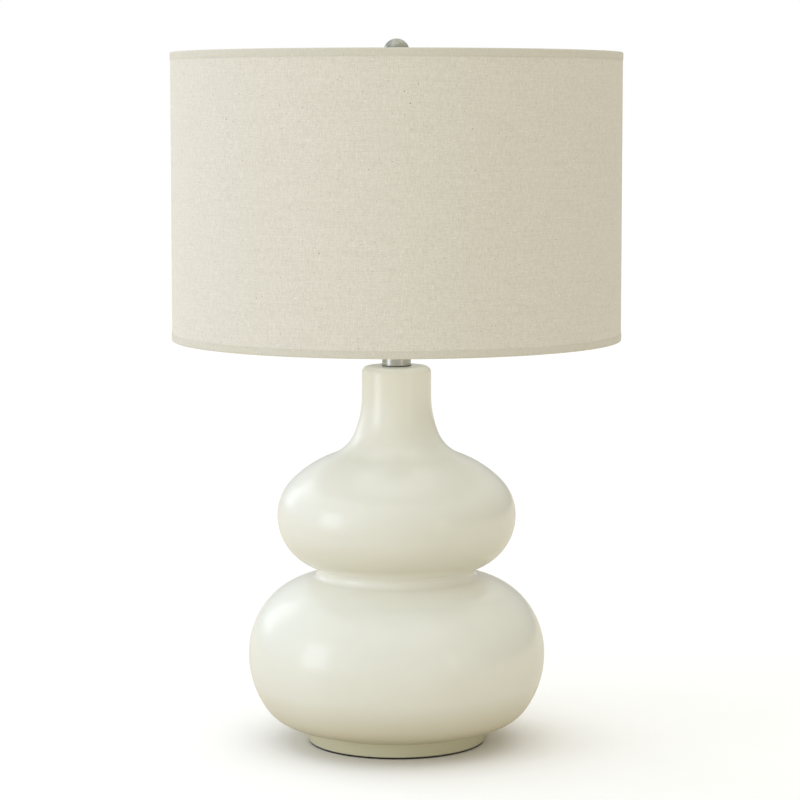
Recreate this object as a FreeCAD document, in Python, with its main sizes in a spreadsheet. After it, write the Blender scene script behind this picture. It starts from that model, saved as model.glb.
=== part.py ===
import FreeCAD, Part
import Sketcher
import math
import os

# Double gourd table lamp, in millimetres, +Z up, front of the lamp facing -Y.
# The origin is the centre of the foot's underside, on the lamp's axis.
doc = FreeCAD.newDocument("DoubleGourdLamp")
V = FreeCAD.Vector
sheet = doc.addObject("Spreadsheet::Sheet", "Sizes")
cells = []


class Size:
    """A size: its number, and the spreadsheet formula that gives it."""

    def __init__(self, number, formula):
        self.number = float(number)
        self.formula = formula

    def joined(self, sign, other, number, swap=False):
        left = self.formula
        right = other.formula if isinstance(other, Size) else repr(float(other))
        if swap:
            left, right = right, left
        return Size(number, "(%s %s %s)" % (left, sign, right))

    def __add__(self, other):
        return self.joined("+", other, self.number + num(other))

    def __sub__(self, other):
        return self.joined("-", other, self.number - num(other))

    def __mul__(self, other):
        return self.joined("*", other, self.number * num(other))

    __rmul__ = __mul__

    def __truediv__(self, other):
        return self.joined("/", other, self.number / num(other))

    def __neg__(self):
        return Size(-self.number, "(0 - %s)" % self.formula)


def num(value):
    return value.number if isinstance(value, Size) else float(value)


def cosine(angle):
    return Size(math.cos(math.radians(num(angle))), "cos(%s * 1 deg)" % angle.formula)


def sine(angle):
    return Size(math.sin(math.radians(num(angle))), "sin(%s * 1 deg)" % angle.formula)


def square_root(area):
    return Size(math.sqrt(num(area)), "sqrt(%s)" % area.formula)


def in_sheet(alias, text, number):
    cells.append(alias)
    line = len(cells)
    sheet.set("A%d" % line, alias)
    sheet.set("B%d" % line, text)
    sheet.setAlias("B%d" % line, alias)
    return Size(number, "Sizes." + alias)


def size(alias, value):
    """A driving dimension, kept in the sheet as a plain number."""
    return in_sheet(alias, str(value), value)


def station(alias, value):
    """A height or radius that follows from the sizes, kept in the sheet as its formula."""
    return in_sheet(alias, "=" + value.formula.replace("Sizes.", ""), num(value))


def bind(thing, path, value):
    if isinstance(value, Size):
        thing.setExpression(path, value.formula)


# Ceramic body: two gourds on a foot ring, an open-necked shell
pad_thick = size("pad_thick", 1.5)
pad_outer = size("pad_outer", 78.9)
pad_inner = size("pad_inner", 64)
foot_radius = size("foot_radius", 80)
foot_wall = size("foot_wall", 9)
foot_height = size("foot_height", 13.1)
foot_edge = size("foot_edge", 1.2)
foot_root = size("foot_root", 1)
shell_wall = size("shell_wall", 5.5)
floor_under = size("floor_under", 13)
floor_thick = size("floor_thick", 5.5)
under_arc = size("under_arc", 36.4)
under_sweep = size("under_sweep", 39.2)
belly_arc = size("belly_arc", 82.7)
belly_sweep = size("belly_sweep", 35.4)
lower_mid_radius = size("lower_mid_radius", 133.1)
rise_arc = size("rise_arc", 73.6)
rise_sweep = size("rise_sweep", 30.2)
crown_arc = size("crown_arc", 66)
waist_gap = size("waist_gap", 6.3)
waist_fillet = size("waist_fillet", 5)
root_arc = size("root_arc", 50.4)
cup_arc = size("cup_arc", 49)
cup_sweep = size("cup_sweep", 55.9)
upper_mid_radius = size("upper_mid_radius", 107)
cheek_arc = size("cheek_arc", 44)
cheek_sweep = size("cheek_sweep", 44.6)
slope_arc = size("slope_arc", 98)
throat_arc = size("throat_arc", 35.6)
neck_arc = size("neck_arc", 93.2)
neck_rise = size("neck_rise", 108.3)
neck_straight = size("neck_straight", 25.741)
neck_radius = size("neck_radius", 31)
neck_edge = size("neck_edge", 6)
neck_lid = size("neck_lid", 7)
rod_hole = size("rod_hole", 8)

# Cord inlet in the back of the foot
cord_rise = size("cord_rise", 5.5)
cord_bore = size("cord_bore", 2.75)
cord_hole = size("cord_hole", 3.5)
cord_flange = size("cord_flange", 5)
cord_flange_thick = size("cord_flange_thick", 1.2)
cord_flange_edge = size("cord_flange_edge", 0.5)
cord_mouth_edge = size("cord_mouth_edge", 0.4)
cord_flat_depth = size("cord_flat_depth", 0.3)
cord_flat_gap = size("cord_flat_gap", 0.2)
cord_inner_gap = size("cord_inner_gap", 0.3)

# Hardware through the ceramic
thread_fit = size("thread_fit", 0.05)
rod_radius = size("rod_radius", 4.85)
rod_bore = size("rod_bore", 3.25)
rod_tail = size("rod_tail", 1)
base_plate_radius = size("base_plate_radius", 35)
base_plate_thick = size("base_plate_thick", 2)
lock_washer_radius = size("lock_washer_radius", 9)
lock_washer_thick = size("lock_washer_thick", 1.2)
lock_washer_split = size("lock_washer_split", 1.4)
nut_flats = size("nut_flats", 14.3)
nut_height = size("nut_height", 4.8)
seat_radius = size("seat_radius", 12.6)
seat_thick = size("seat_thick", 0.8)
collar_radius = size("collar_radius", 12.9)
collar_flange = size("collar_flange", 13.4)
collar_wall = size("collar_wall", 1)
collar_height = size("collar_height", 31.2)
collar_edge = size("collar_edge", 0.8)
collar_flange_edge = size("collar_flange_edge", 0.3)

# Harp, its saddle and its sliding ferrules
rest_gap = size("rest_gap", 0.2)
saddle_thick = size("saddle_thick", 1.3)
saddle_width = size("saddle_width", 12.7)
saddle_half = size("saddle_half", 25.4)
saddle_bend = size("saddle_bend", 3)
saddle_arm = size("saddle_arm", 13)
saddle_tab = size("saddle_tab", 13)
saddle_tab_width = size("saddle_tab_width", 5)
harp_wire_radius = size("harp_wire_radius", 2)
harp_foot_radius = size("harp_foot_radius", 3.2)
harp_foot_length = size("harp_foot_length", 16)
harp_foot_grip = size("harp_foot_grip", 0.5)
harp_slot_width = size("harp_slot_width", 1.9)
harp_slot_depth = size("harp_slot_depth", 11.2)
harp_leg = size("harp_leg", 37)
harp_turn_out = size("harp_turn_out", 40)
harp_turn_up = size("harp_turn_up", 60)
harp_turn_angle = size("harp_turn_angle", 42)
harp_top_arc = size("harp_top_arc", 40)
harp_rise = size("harp_rise", 211)
harp_boss_radius = size("harp_boss_radius", 6)
harp_boss_height = size("harp_boss_height", 6)
ferrule_radius = size("ferrule_radius", 4.75)
ferrule_bore = size("ferrule_bore", 3.5)
ferrule_length = size("ferrule_length", 19)
ferrule_foot_edge = size("ferrule_foot_edge", 0.5)
ferrule_top_edge = size("ferrule_top_edge", 0.8)

# Swivel stud, shade and finial
turn_fit = size("turn_fit", 0.05)
stud_pin = size("stud_pin", 2.5)
stud_head = size("stud_head", 4.5)
stud_head_thick = size("stud_head_thick", 1.8)
stud_head_edge = size("stud_head_edge", 0.6)
stud_flange = size("stud_flange", 6.35)
stud_flange_thick = size("stud_flange_thick", 2)
stud_thread = size("stud_thread", 3.175)
stud_length = size("stud_length", 11.4)
stud_bevel = size("stud_bevel", 0.6)
hub_radius = size("hub_radius", 11)
hub_bore = size("hub_bore", 3.35)
hub_thick = size("hub_thick", 3.2)
hub_edge = size("hub_edge", 0.8)
arm_count = size("arm_count", 3)
arm_wire = size("arm_wire", 1.6)
arm_bend = size("arm_bend", 30)
arm_slope_run = size("arm_slope_run", 37.1)
arm_slope_rise = size("arm_slope_rise", 11.2)
ring_wire = size("ring_wire", 1.6)
shade_radius = size("shade_radius", 200)
shade_height = size("shade_height", 254)
liner_thick = size("liner_thick", 0.5)
linen_thick = size("linen_thick", 0.5)
hem_thick = size("hem_thick", 0.3)
hem_height = size("hem_height", 6.5)
hem_turn_in = size("hem_turn_in", 5)
hem_notch = size("hem_notch", 5)
finial_radius = size("finial_radius", 11.6)
finial_neck = size("finial_neck", 6.5)
finial_stem = size("finial_stem", 12.2)
insert_radius = size("insert_radius", 4.7)
insert_height = size("insert_height", 9.6)
insert_room = size("insert_room", 1)

# Lamp holder and its rotary switch
cap_radius = size("cap_radius", 16.6)
cap_wall = size("cap_wall", 0.8)
cap_hub = size("cap_hub", 7.6)
cap_hub_height = size("cap_hub_height", 5.7)
cap_hub_bend = size("cap_hub_bend", 2)
cap_cone = size("cap_cone", 9)
cap_cone_bend = size("cap_cone_bend", 6)
cap_skirt = size("cap_skirt", 8)
set_screw_radius = size("set_screw_radius", 1.5)
set_screw_head = size("set_screw_head", 2.6)
set_screw_head_thick = size("set_screw_head_thick", 1.6)
set_screw_slot = size("set_screw_slot", 0.7)
set_screw_slot_depth = size("set_screw_slot_depth", 0.8)
set_screw_gap = size("set_screw_gap", 0.1)
holder_radius = size("holder_radius", 15.75)
holder_wall = size("holder_wall", 0.4)
holder_tuck = size("holder_tuck", 6)
holder_height = size("holder_height", 46)
bead_gap = size("bead_gap", 1)
bead_rise = size("bead_rise", 0.55)
bead_ramp = size("bead_ramp", 0.6)
bead_flat = size("bead_flat", 1.4)
sleeve_fit = size("sleeve_fit", 0.05)
sleeve_wall = size("sleeve_wall", 0.6)
sleeve_rise = size("sleeve_rise", 1.5)
core_radius = size("core_radius", 14.4)
core_lift = size("core_lift", 1)
core_height = size("core_height", 23.5)
core_edge = size("core_edge", 0.8)
terminal_recess = size("terminal_recess", 3.2)
terminal_recess_width = size("terminal_recess_width", 10)
terminal_rise = size("terminal_rise", 5)
terminal_head = size("terminal_head", 3)
terminal_head_thick = size("terminal_head_thick", 1.8)
terminal_shank = size("terminal_shank", 1.4)
terminal_shank_length = size("terminal_shank_length", 6)
cup_radius = size("cup_radius", 13.65)
cup_wall = size("cup_wall", 0.3)
cup_height = size("cup_height", 21)
cup_floor_hole = size("cup_floor_hole", 6)
tongue_gap = size("tongue_gap", 1)
tongue_width = size("tongue_width", 5)
tongue_thick = size("tongue_thick", 0.4)
tongue_foot = size("tongue_foot", 3)
tongue_slope = size("tongue_slope", 3.6)
tongue_tip = size("tongue_tip", 2.4)
tongue_rise = size("tongue_rise", 2.6)
spindle_radius = size("spindle_radius", 2.4)
spindle_rise = size("spindle_rise", 12)
spindle_start = size("spindle_start", 4)
spindle_length = size("spindle_length", 29)
spindle_gap = size("spindle_gap", 1)
spindle_hole = size("spindle_hole", 4)
knob_radius = size("knob_radius", 6)
knob_length = size("knob_length", 14)
knob_bore_depth = size("knob_bore_depth", 9)
knob_edge = size("knob_edge", 1)
knob_flutes = size("knob_flutes", 12)
flute_radius = size("flute_radius", 0.8)
flute_depth = size("flute_depth", 0.5)

# Bulb, a 60 mm globe on a 26 mm screw cap
bulb_tip_gap = size("bulb_tip_gap", 0.5)
bulb_tip_radius = size("bulb_tip_radius", 4.6)
bulb_tip_height = size("bulb_tip_height", 1.4)
bulb_tip_bevel = size("bulb_tip_bevel", 0.6)
insulator_radius = size("insulator_radius", 9.6)
insulator_height = size("insulator_height", 3)
insulator_edge = size("insulator_edge", 0.6)
bulb_cap_radius = size("bulb_cap_radius", 13.1)
bulb_cap_length = size("bulb_cap_length", 20)
bulb_cap_wall = size("bulb_cap_wall", 0.6)
bulb_cap_taper = size("bulb_cap_taper", 2.5)
housing_neck = size("housing_neck", 14)
housing_neck_rise = size("housing_neck_rise", 7.5)
housing_wall = size("housing_wall", 1.2)
globe_rise = size("globe_rise", 54.9)
globe_radius = size("globe_radius", 30)
globe_joint = size("globe_joint", 20.9)
globe_wall = size("globe_wall", 1.2)

# Stations of the gourd: how high its arcs put the widest rings and the neck's top
under_turn = belly_sweep + under_sweep
under_x = lower_mid_radius - belly_arc + (belly_arc - under_arc) * cosine(belly_sweep)
run_rise = (under_x + under_arc * cosine(under_turn) - foot_radius) * cosine(under_turn) / sine(under_turn)
belly_rise = (belly_arc - under_arc) * sine(belly_sweep) + under_arc * sine(under_turn)
lower_mid_z = station("lower_mid_z", foot_height + run_rise + belly_rise)
crown_x = lower_mid_radius - rise_arc + (rise_arc - crown_arc) * cosine(rise_sweep)
root_x = upper_mid_radius - cup_arc + (cup_arc - root_arc) * cosine(cup_sweep)
centres = crown_arc + root_arc + waist_gap
climb = square_root(centres * centres - (crown_x - root_x) * (crown_x - root_x))
crown_z = lower_mid_z + (rise_arc - crown_arc) * sine(rise_sweep)
upper_mid_z = station("upper_mid_z", crown_z + climb + (cup_arc - root_arc) * sine(cup_sweep))
neck_arc_z = station("neck_arc_z", upper_mid_z + neck_rise)
neck_top = station("neck_top", neck_arc_z + neck_straight)

# Stations of what stands on the neck, from the collar up to the shade's rims
foot_bore = station("foot_bore", foot_radius - foot_wall)
floor_top = station("floor_top", floor_under + floor_thick)
collar_z = station("collar_z", neck_top + seat_thick + collar_height)
saddle_z = station("saddle_z", collar_z + saddle_thick)
shoulder_z = station("shoulder_z", collar_z + saddle_arm)
tip_z = station("tip_z", shoulder_z + saddle_tab)
harp_foot_z = station("harp_foot_z", tip_z + rest_gap - harp_slot_depth)
harp_top_z = station("harp_top_z", harp_foot_z + harp_rise)
flange_z = station("flange_z", harp_top_z + harp_boss_height / 2 + rest_gap)
hub_seat = station("hub_seat", flange_z + stud_flange_thick)
hub_z = station("hub_z", hub_seat + rest_gap / 2)
ring_radius = station("ring_radius", shade_radius - hem_thick - linen_thick - liner_thick - ring_wire)
ring_top_z = station("ring_top_z", hub_z + hub_thick / 2 + arm_slope_rise)
shade_top = station("shade_top", ring_top_z + ring_wire + hem_thick)
shade_bottom = station("shade_bottom", shade_top - shade_height)
finial_z = station("finial_z", hub_z + hub_thick + rest_gap / 2)

# Stations of the lamp holder and the bulb
cap_high = station("cap_high", saddle_z + cap_hub_height + cap_cone + cap_skirt)
holder_low = station("holder_low", cap_high - holder_tuck)
holder_top = station("holder_top", holder_low + holder_height)
core_low = station("core_low", holder_low + core_lift)
core_top = station("core_top", core_low + core_height)
spindle_z = station("spindle_z", core_low + spindle_rise)
bulb_tip_z = station("bulb_tip_z", core_top + tongue_rise + tongue_thick + bulb_tip_gap)
glass_z = station("glass_z", bulb_tip_z + bulb_tip_height + rest_gap / 2)
cap_base = station("cap_base", glass_z + insulator_height)
cap_rim = station("cap_rim", cap_base + bulb_cap_length)
globe_mid_z = station("globe_mid_z", cap_rim + globe_rise)

doc.recompute()


def new_body(node):
    body = doc.addObject("PartDesign::Body", node)
    body.Label = node
    return body


def new_sketch(body, name, role, offset=None):
    sketch = body.newObject("Sketcher::SketchObject", body.Name + "_" + name)
    plane = [item for item in body.Origin.OriginFeatures if item.Role == role][0]
    sketch.AttachmentSupport = [(plane, "")]
    sketch.MapMode = "FlatFace"
    if offset is not None:
        sketch.AttachmentOffset = FreeCAD.Placement(V(0, 0, num(offset)), FreeCAD.Rotation())
        bind(sketch, "AttachmentOffset.Base.z", offset)
    return sketch


def driven(sketch, kind, *parts):
    """Add a dimension whose last part is a size, and tie it to the sheet."""
    value = parts[-1]
    number = num(value)
    if kind == "Angle":
        number = math.radians(number)
    index = sketch.addConstraint(Sketcher.Constraint(kind, *parts[:-1], number))
    if isinstance(value, Size):
        formula = value.formula + " * 1 deg" if kind == "Angle" else value.formula
        sketch.setExpression("Constraints[%d]" % index, formula)


def pin(sketch, edge, end, across, up):
    if num(across) == 0:
        sketch.addConstraint(Sketcher.Constraint("PointOnObject", edge, end, -2))
    else:
        driven(sketch, "DistanceX", edge, end, across)
    if num(up) == 0:
        sketch.addConstraint(Sketcher.Constraint("PointOnObject", edge, end, -1))
    else:
        driven(sketch, "DistanceY", edge, end, up)


def polygon(sketch, corners):
    first = sketch.GeometryCount
    count = len(corners)
    for i in range(count):
        a = corners[i]
        b = corners[(i + 1) % count]
        start = V(num(a[0]), num(a[1]), 0)
        sketch.addGeometry(Part.LineSegment(start, V(num(b[0]), num(b[1]), 0)), False)
    for i in range(count):
        after = first + (i + 1) % count
        sketch.addConstraint(Sketcher.Constraint("Coincident", first + i, 2, after, 1))
    for i, corner in enumerate(corners):
        pin(sketch, first + i, 1, corner[0], corner[1])


def circle(sketch, across, up, radius):
    middle = V(num(across), num(up), 0)
    edge = sketch.addGeometry(Part.Circle(middle, V(0, 0, 1), num(radius)), False)
    driven(sketch, "Radius", edge, radius)
    if num(across) == 0 and num(up) == 0:
        sketch.addConstraint(Sketcher.Constraint("Coincident", edge, 3, -1, 1))
    else:
        pin(sketch, edge, 3, across, up)


def revolve(body, sketch, kind="Revolution"):
    turn = body.newObject("PartDesign::" + kind, sketch.Name + "_turned")
    turn.Profile = sketch
    turn.ReferenceAxis = (sketch, ["V_Axis"])
    turn.Angle = 360
    doc.recompute()


def pad(body, sketch, length, symmetric=False):
    block = body.newObject("PartDesign::Pad", sketch.Name + "_pad")
    block.Profile = sketch
    block.Length = num(length)
    bind(block, "Length", length)
    if symmetric:
        block.SideType = "Symmetric"
    doc.recompute()


def pocket(body, sketch, length=None, symmetric=False, reverse=False):
    """Cut a sketch to a length, or with no length right through."""
    before = body.Shape.Volume
    cut = body.newObject("PartDesign::Pocket", sketch.Name + "_cut")
    cut.Profile = sketch
    if length is None:
        cut.Type = "ThroughAll"
    else:
        cut.Length = num(length)
        bind(cut, "Length", length)
    if symmetric:
        cut.SideType = "Symmetric"
    cut.Reversed = reverse
    doc.recompute()
    if cut.Shape.Volume > before - 1e-6:
        raise RuntimeError(sketch.Name + " cuts nothing")
    return cut


def turned(node, corners):
    """A lathe-turned piece from its half section, (radius, height) corners."""
    body = new_body(node)
    sketch = new_sketch(body, "section", "XZ_Plane")
    polygon(sketch, corners)
    revolve(body, sketch)
    return body


def rounded(body, radius, chosen, kind="Fillet"):
    """Round or bevel the edges of the last feature that pass the test."""
    last = body.Tip
    names = []
    for i, edge in enumerate(last.Shape.Edges):
        if chosen(edge):
            names.append("Edge%d" % (i + 1))
    if not names:
        raise RuntimeError(body.Name + " has no edge to round")
    soft = body.newObject("PartDesign::" + kind, "%s_%s%d" % (body.Name, kind, len(body.Group)))
    soft.Base = (last, names)
    measure = "Radius" if kind == "Fillet" else "Size"
    setattr(soft, measure, num(radius))
    bind(soft, measure, radius)
    doc.recompute()


def ring_at(radius, height):
    """Pick the circular edges of one radius at one height."""
    def test(edge):
        curve = edge.Curve
        if not isinstance(curve, Part.Circle):
            return False
        same = abs(curve.Radius - num(radius)) < 1e-3
        return same and abs(curve.Center.z - num(height)) < 1e-3
    return test


def bend_at(across, up):
    """Pick the straight edges across a strip, at one half width and one height."""
    def test(edge):
        ends = [vertex.Point for vertex in edge.Vertexes]
        if len(ends) != 2:
            return False
        level = abs(ends[0].z - ends[1].z) < 1e-6 and abs(ends[0].x - ends[1].x) < 1e-6
        there = abs(abs(ends[0].x) - num(across)) < 1e-3 and abs(ends[0].z - num(up)) < 1e-3
        return level and there
    return test


def repeated(body, cut, axis, count):
    pattern = body.newObject("PartDesign::PolarPattern", body.Name + "_round")
    if cut is None:
        pattern.TransformMode = "Whole shape"
    else:
        pattern.Originals = [cut]
    pattern.Axis = axis
    pattern.Angle = 360
    pattern.Occurrences = int(num(count))
    bind(pattern, "Occurrences", count)
    body.Tip = pattern
    doc.recompute()


def placed(thing, across, back, up, turn=FreeCAD.Rotation()):
    thing.Placement = FreeCAD.Placement(V(num(across), num(back), num(up)), turn)
    bind(thing, "Placement.Base.x", across)
    bind(thing, "Placement.Base.y", back)
    bind(thing, "Placement.Base.z", up)


def cylinder(name, radius, height, across, up, turn=FreeCAD.Rotation()):
    thing = doc.addObject("Part::Cylinder", name)
    thing.Radius = num(radius)
    thing.Height = num(height)
    bind(thing, "Radius", radius)
    bind(thing, "Height", height)
    placed(thing, across, 0, up, turn)
    return thing


to_back = FreeCAD.Rotation(V(1, 0, 0), -90)
to_front = FreeCAD.Rotation(V(1, 0, 0), 90)


# The gourd outline is a chain of tangent arcs. The shell's inner face is the same
# chain moved in by the wall, so bulging arcs shrink by it and hollow arcs grow.
def point(centre, radius, degrees):
    angle = math.radians(degrees)
    return V(centre.x + radius * math.cos(angle), centre.y + radius * math.sin(angle), 0)


def bearing(centre, other):
    return math.degrees(math.atan2(other.y - centre.y, other.x - centre.x)) % 360


def meeting(a, reach_a, b, reach_b, side):
    """Where circles round a and b cross: side 1 is away from the lamp's axis, -1 near it."""
    gap = a.distanceToPoint(b)
    along = (reach_a ** 2 - reach_b ** 2 + gap ** 2) / (2 * gap)
    rise = math.sqrt(reach_a ** 2 - along ** 2)
    axis = (b - a) / gap
    across = V(-axis.y, axis.x, 0) * rise
    if across.x * side < 0:
        across = -across
    return a + axis * along + across


def gourd_chain(sketch, wall, stop, stop_at, neck_end):
    """Draw the outline from the foot up to neck_end, moved in by the wall. Its straight
    first run starts where it reaches stop_at, measured along stop."""
    at_belly = V(num(lower_mid_radius - belly_arc), num(lower_mid_z), 0)
    at_rise = V(num(lower_mid_radius - rise_arc), num(lower_mid_z), 0)
    at_cup = V(num(upper_mid_radius - cup_arc), num(upper_mid_z), 0)
    at_cheek = V(num(upper_mid_radius - cheek_arc), num(upper_mid_z), 0)
    at_neck = V(num(neck_radius + neck_arc), num(neck_arc_z), 0)
    at_under = point(at_belly, num(belly_arc - under_arc), -num(belly_sweep))
    at_crown = point(at_rise, num(rise_arc - crown_arc), num(rise_sweep))
    at_root = point(at_cup, num(cup_arc - root_arc), -num(cup_sweep))
    at_slope = point(at_cheek, num(cheek_arc - slope_arc), num(cheek_sweep))
    crown_reach = num(crown_arc + waist_fillet)
    at_waist = meeting(at_crown, crown_reach, at_root, num(root_arc + waist_fillet), 1)
    neck_reach = num(neck_arc - throat_arc)
    at_throat = meeting(at_neck, neck_reach, at_slope, num(slope_arc + throat_arc), -1)
    low = -num(under_turn)
    neck_bearing = bearing(at_neck, at_throat)
    bulging = [
        (at_under, under_arc, low, -num(belly_sweep)),
        (at_belly, belly_arc, -num(belly_sweep), 0),
        (at_rise, rise_arc, 0, num(rise_sweep)),
        (at_crown, crown_arc, num(rise_sweep), bearing(at_crown, at_waist)),
        (at_root, root_arc, bearing(at_root, at_waist) - 360, -num(cup_sweep)),
        (at_cup, cup_arc, -num(cup_sweep), 0),
        (at_cheek, cheek_arc, 0, num(cheek_sweep)),
        (at_slope, slope_arc, num(cheek_sweep), bearing(at_slope, at_throat)),
    ]
    hollow = [
        (at_waist, waist_fillet, bearing(at_waist, at_root), bearing(at_waist, at_crown)),
        (at_throat, throat_arc, neck_bearing, bearing(at_throat, at_slope)),
        (at_neck, neck_arc, 180, neck_bearing),
    ]
    # the straight run is tangent to the first arc
    start = point(at_under, num(under_arc - wall), low)
    heading = V(math.sin(math.radians(low)), -math.cos(math.radians(low)), 0)
    if stop == "DistanceX":
        step = (num(stop_at) - start.x) / heading.x
    else:
        step = (num(stop_at) - start.y) / heading.y
    foot = start + heading * step
    run = sketch.addGeometry(Part.LineSegment(foot, start), False)
    edges = []
    for arcs, moved in ((bulging, -wall), (hollow, wall)):
        for middle, radius, from_deg, to_deg in arcs:
            ring = Part.Circle(middle, V(0, 0, 1), num(radius + moved))
            ends = math.radians(from_deg), math.radians(to_deg)
            edge = sketch.addGeometry(Part.ArcOfCircle(ring, *ends), False)
            driven(sketch, "Radius", edge, radius + moved)
            edges.append(edge)
    under, belly, rise, crown, root, cup, cheek, slope, waist, throat, bow = edges
    neck_x = neck_radius - wall
    side = Part.LineSegment(V(num(neck_x), num(neck_arc_z), 0), V(num(neck_x), num(neck_end), 0))
    neck = sketch.addGeometry(side, False)
    chain = [
        (run, 2, under, 1), (under, 2, belly, 1), (belly, 2, rise, 1), (rise, 2, crown, 1),
        (crown, 2, waist, 2), (waist, 1, root, 1), (root, 2, cup, 1), (cup, 2, cheek, 1),
        (cheek, 2, slope, 1), (slope, 2, throat, 2), (throat, 1, bow, 2), (bow, 1, neck, 1),
    ]
    for link in chain:
        sketch.addConstraint(Sketcher.Constraint("Tangent", *link))
    sweeps = [
        (under, under_sweep), (belly, belly_sweep), (rise, rise_sweep),
        (cup, cup_sweep), (cheek, cheek_sweep),
    ]
    pin(sketch, belly, 3, lower_mid_radius - belly_arc, lower_mid_z)
    pin(sketch, cup, 3, upper_mid_radius - cup_arc, upper_mid_z)
    driven(sketch, "DistanceY", belly, 2, lower_mid_z)
    driven(sketch, "DistanceY", cup, 2, upper_mid_z)
    for edge, sweep in sweeps:
        driven(sketch, "Angle", edge, sweep)
    driven(sketch, "DistanceY", bow, 3, neck_arc_z)
    sketch.addConstraint(Sketcher.Constraint("Vertical", neck))
    driven(sketch, "DistanceX", neck, 2, neck_x)
    driven(sketch, "DistanceY", neck, 2, neck_end)
    driven(sketch, stop, run, 1, stop_at)
    return run, foot, neck


def closed_by(sketch, start, end, corners):
    """Close a chain with straight edges: from its start corner round to its end."""
    first = sketch.GeometryCount
    stops = [start[0]] + [V(num(c[0]), num(c[1]), 0) for c in corners] + [end[0]]
    for a, b in zip(stops, stops[1:]):
        sketch.addGeometry(Part.LineSegment(a, b), False)
    last = sketch.GeometryCount - 1
    for edge in range(first, last):
        sketch.addConstraint(Sketcher.Constraint("Coincident", edge, 2, edge + 1, 1))
        pin(sketch, edge, 2, corners[edge - first][0], corners[edge - first][1])
    sketch.addConstraint(Sketcher.Constraint("Coincident", first, 1, start[1], start[2]))
    sketch.addConstraint(Sketcher.Constraint("Coincident", last, 2, end[1], end[2]))


# The shell: glazed ceramic, slip cast in one piece
gourd = new_body("gourd_body")
outer = new_sketch(gourd, "outer", "XZ_Plane")
lip_z = neck_top - neck_edge
lip_x = neck_radius - neck_edge
run, foot_corner, neck_line = gourd_chain(outer, 0, "DistanceX", foot_radius, lip_z)
lip_circle = Part.Circle(V(num(lip_x), num(lip_z), 0), V(0, 0, 1), num(neck_edge))
lip = outer.addGeometry(Part.ArcOfCircle(lip_circle, 0, math.pi / 2), False)
outer.addConstraint(Sketcher.Constraint("Tangent", neck_line, 2, lip, 1))
driven(outer, "Radius", lip, neck_edge)
driven(outer, "DistanceX", lip, 2, lip_x)
lip_end = V(num(lip_x), num(neck_top), 0)
around = [(0, neck_top), (0, pad_thick), (foot_radius, pad_thick)]
closed_by(outer, (lip_end, lip, 2), (foot_corner, run, 1), around)
revolve(gourd, outer)
rounded(gourd, foot_edge, ring_at(foot_radius, pad_thick))
rounded(gourd, foot_root, ring_at(foot_radius, foot_height))
inner = new_sketch(gourd, "inner", "XZ_Plane")
lid_under = neck_top - neck_lid
run, floor_corner, neck_line = gourd_chain(inner, shell_wall, "DistanceY", floor_top, lid_under)
neck_inside = V(num(neck_radius - shell_wall), num(lid_under), 0)
around = [(0, lid_under), (0, floor_top)]
closed_by(inner, (neck_inside, neck_line, 2), (floor_corner, run, 1), around)
revolve(gourd, inner, "Groove")
recess = new_sketch(gourd, "recess", "XY_Plane")
circle(recess, 0, 0, foot_bore)
pocket(gourd, recess, floor_under, reverse=True)
rod_way = new_sketch(gourd, "rod_way", "XY_Plane")
circle(rod_way, 0, 0, rod_hole)
pocket(gourd, rod_way, reverse=True)
cord_z = pad_thick + cord_rise
cord_flat_y = foot_radius - cord_flat_depth
cord_way = new_sketch(gourd, "cord_way", "XZ_Plane")
circle(cord_way, 0, cord_z, cord_hole)
pocket(gourd, cord_way, foot_radius + foot_wall)
cord_flat = new_sketch(gourd, "cord_flat", "XZ_Plane", -cord_flat_y)
circle(cord_flat, 0, cord_z, cord_flange + cord_flat_gap)
pocket(gourd, cord_flat, foot_wall)

# Foot pad and the cord's bushing in the back of the foot
turned("foot_pad", [(pad_inner, 0), (pad_outer, 0), (pad_outer, pad_thick), (pad_inner, pad_thick)])
bushing_y = foot_bore - cord_inner_gap - cord_flange_thick
barrel = cord_hole - thread_fit
outer_flange = cord_flat_y - bushing_y
bushing_end = outer_flange + cord_flange_thick
bushing = turned("cord_grommet", [
    (cord_bore, 0), (cord_flange, 0), (cord_flange, cord_flange_thick),
    (barrel, cord_flange_thick), (barrel, outer_flange), (cord_flange, outer_flange),
    (cord_flange, bushing_end), (cord_bore, bushing_end),
])
rounded(bushing, cord_flange_edge, ring_at(cord_flange, bushing_end))
rounded(bushing, cord_mouth_edge, ring_at(cord_bore, bushing_end))
placed(bushing, 0, bushing_y, cord_z, to_back)

# Threaded rod and what clamps it: plate, lock washer and nut below, collar above
rod_clear = rod_radius + thread_fit
plate_z = floor_under - base_plate_thick
washer_z = plate_z - lock_washer_thick
nut_z = washer_z - nut_height
rod_top = saddle_z + cap_hub_height
turned("threaded_rod", [
    (rod_bore, nut_z - rod_tail), (rod_radius, nut_z - rod_tail),
    (rod_radius, rod_top), (rod_bore, rod_top),
])
turned("base_plate", [
    (rod_clear, plate_z), (base_plate_radius, plate_z),
    (base_plate_radius, floor_under), (rod_clear, floor_under),
])
washer = turned("lock_washer", [
    (rod_clear, washer_z), (lock_washer_radius, washer_z),
    (lock_washer_radius, plate_z), (rod_clear, plate_z),
])
split = new_sketch(washer, "split", "XY_Plane", washer_z)
half_split = lock_washer_split / 2
split_end = 2 * lock_washer_radius
polygon(split, [(0, -half_split), (split_end, -half_split), (split_end, half_split), (0, half_split)])
pocket(washer, split, lock_washer_thick, reverse=True)
nut = new_body("base_nut")
hexagon = new_sketch(nut, "hexagon", "XY_Plane", nut_z)
flat = nut_flats / 2
corner = nut_flats / math.sqrt(3)
half_side = corner / 2
polygon(hexagon, [
    (flat, half_side), (0, corner), (-flat, half_side),
    (-flat, -half_side), (0, -corner), (flat, -half_side),
])
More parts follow.
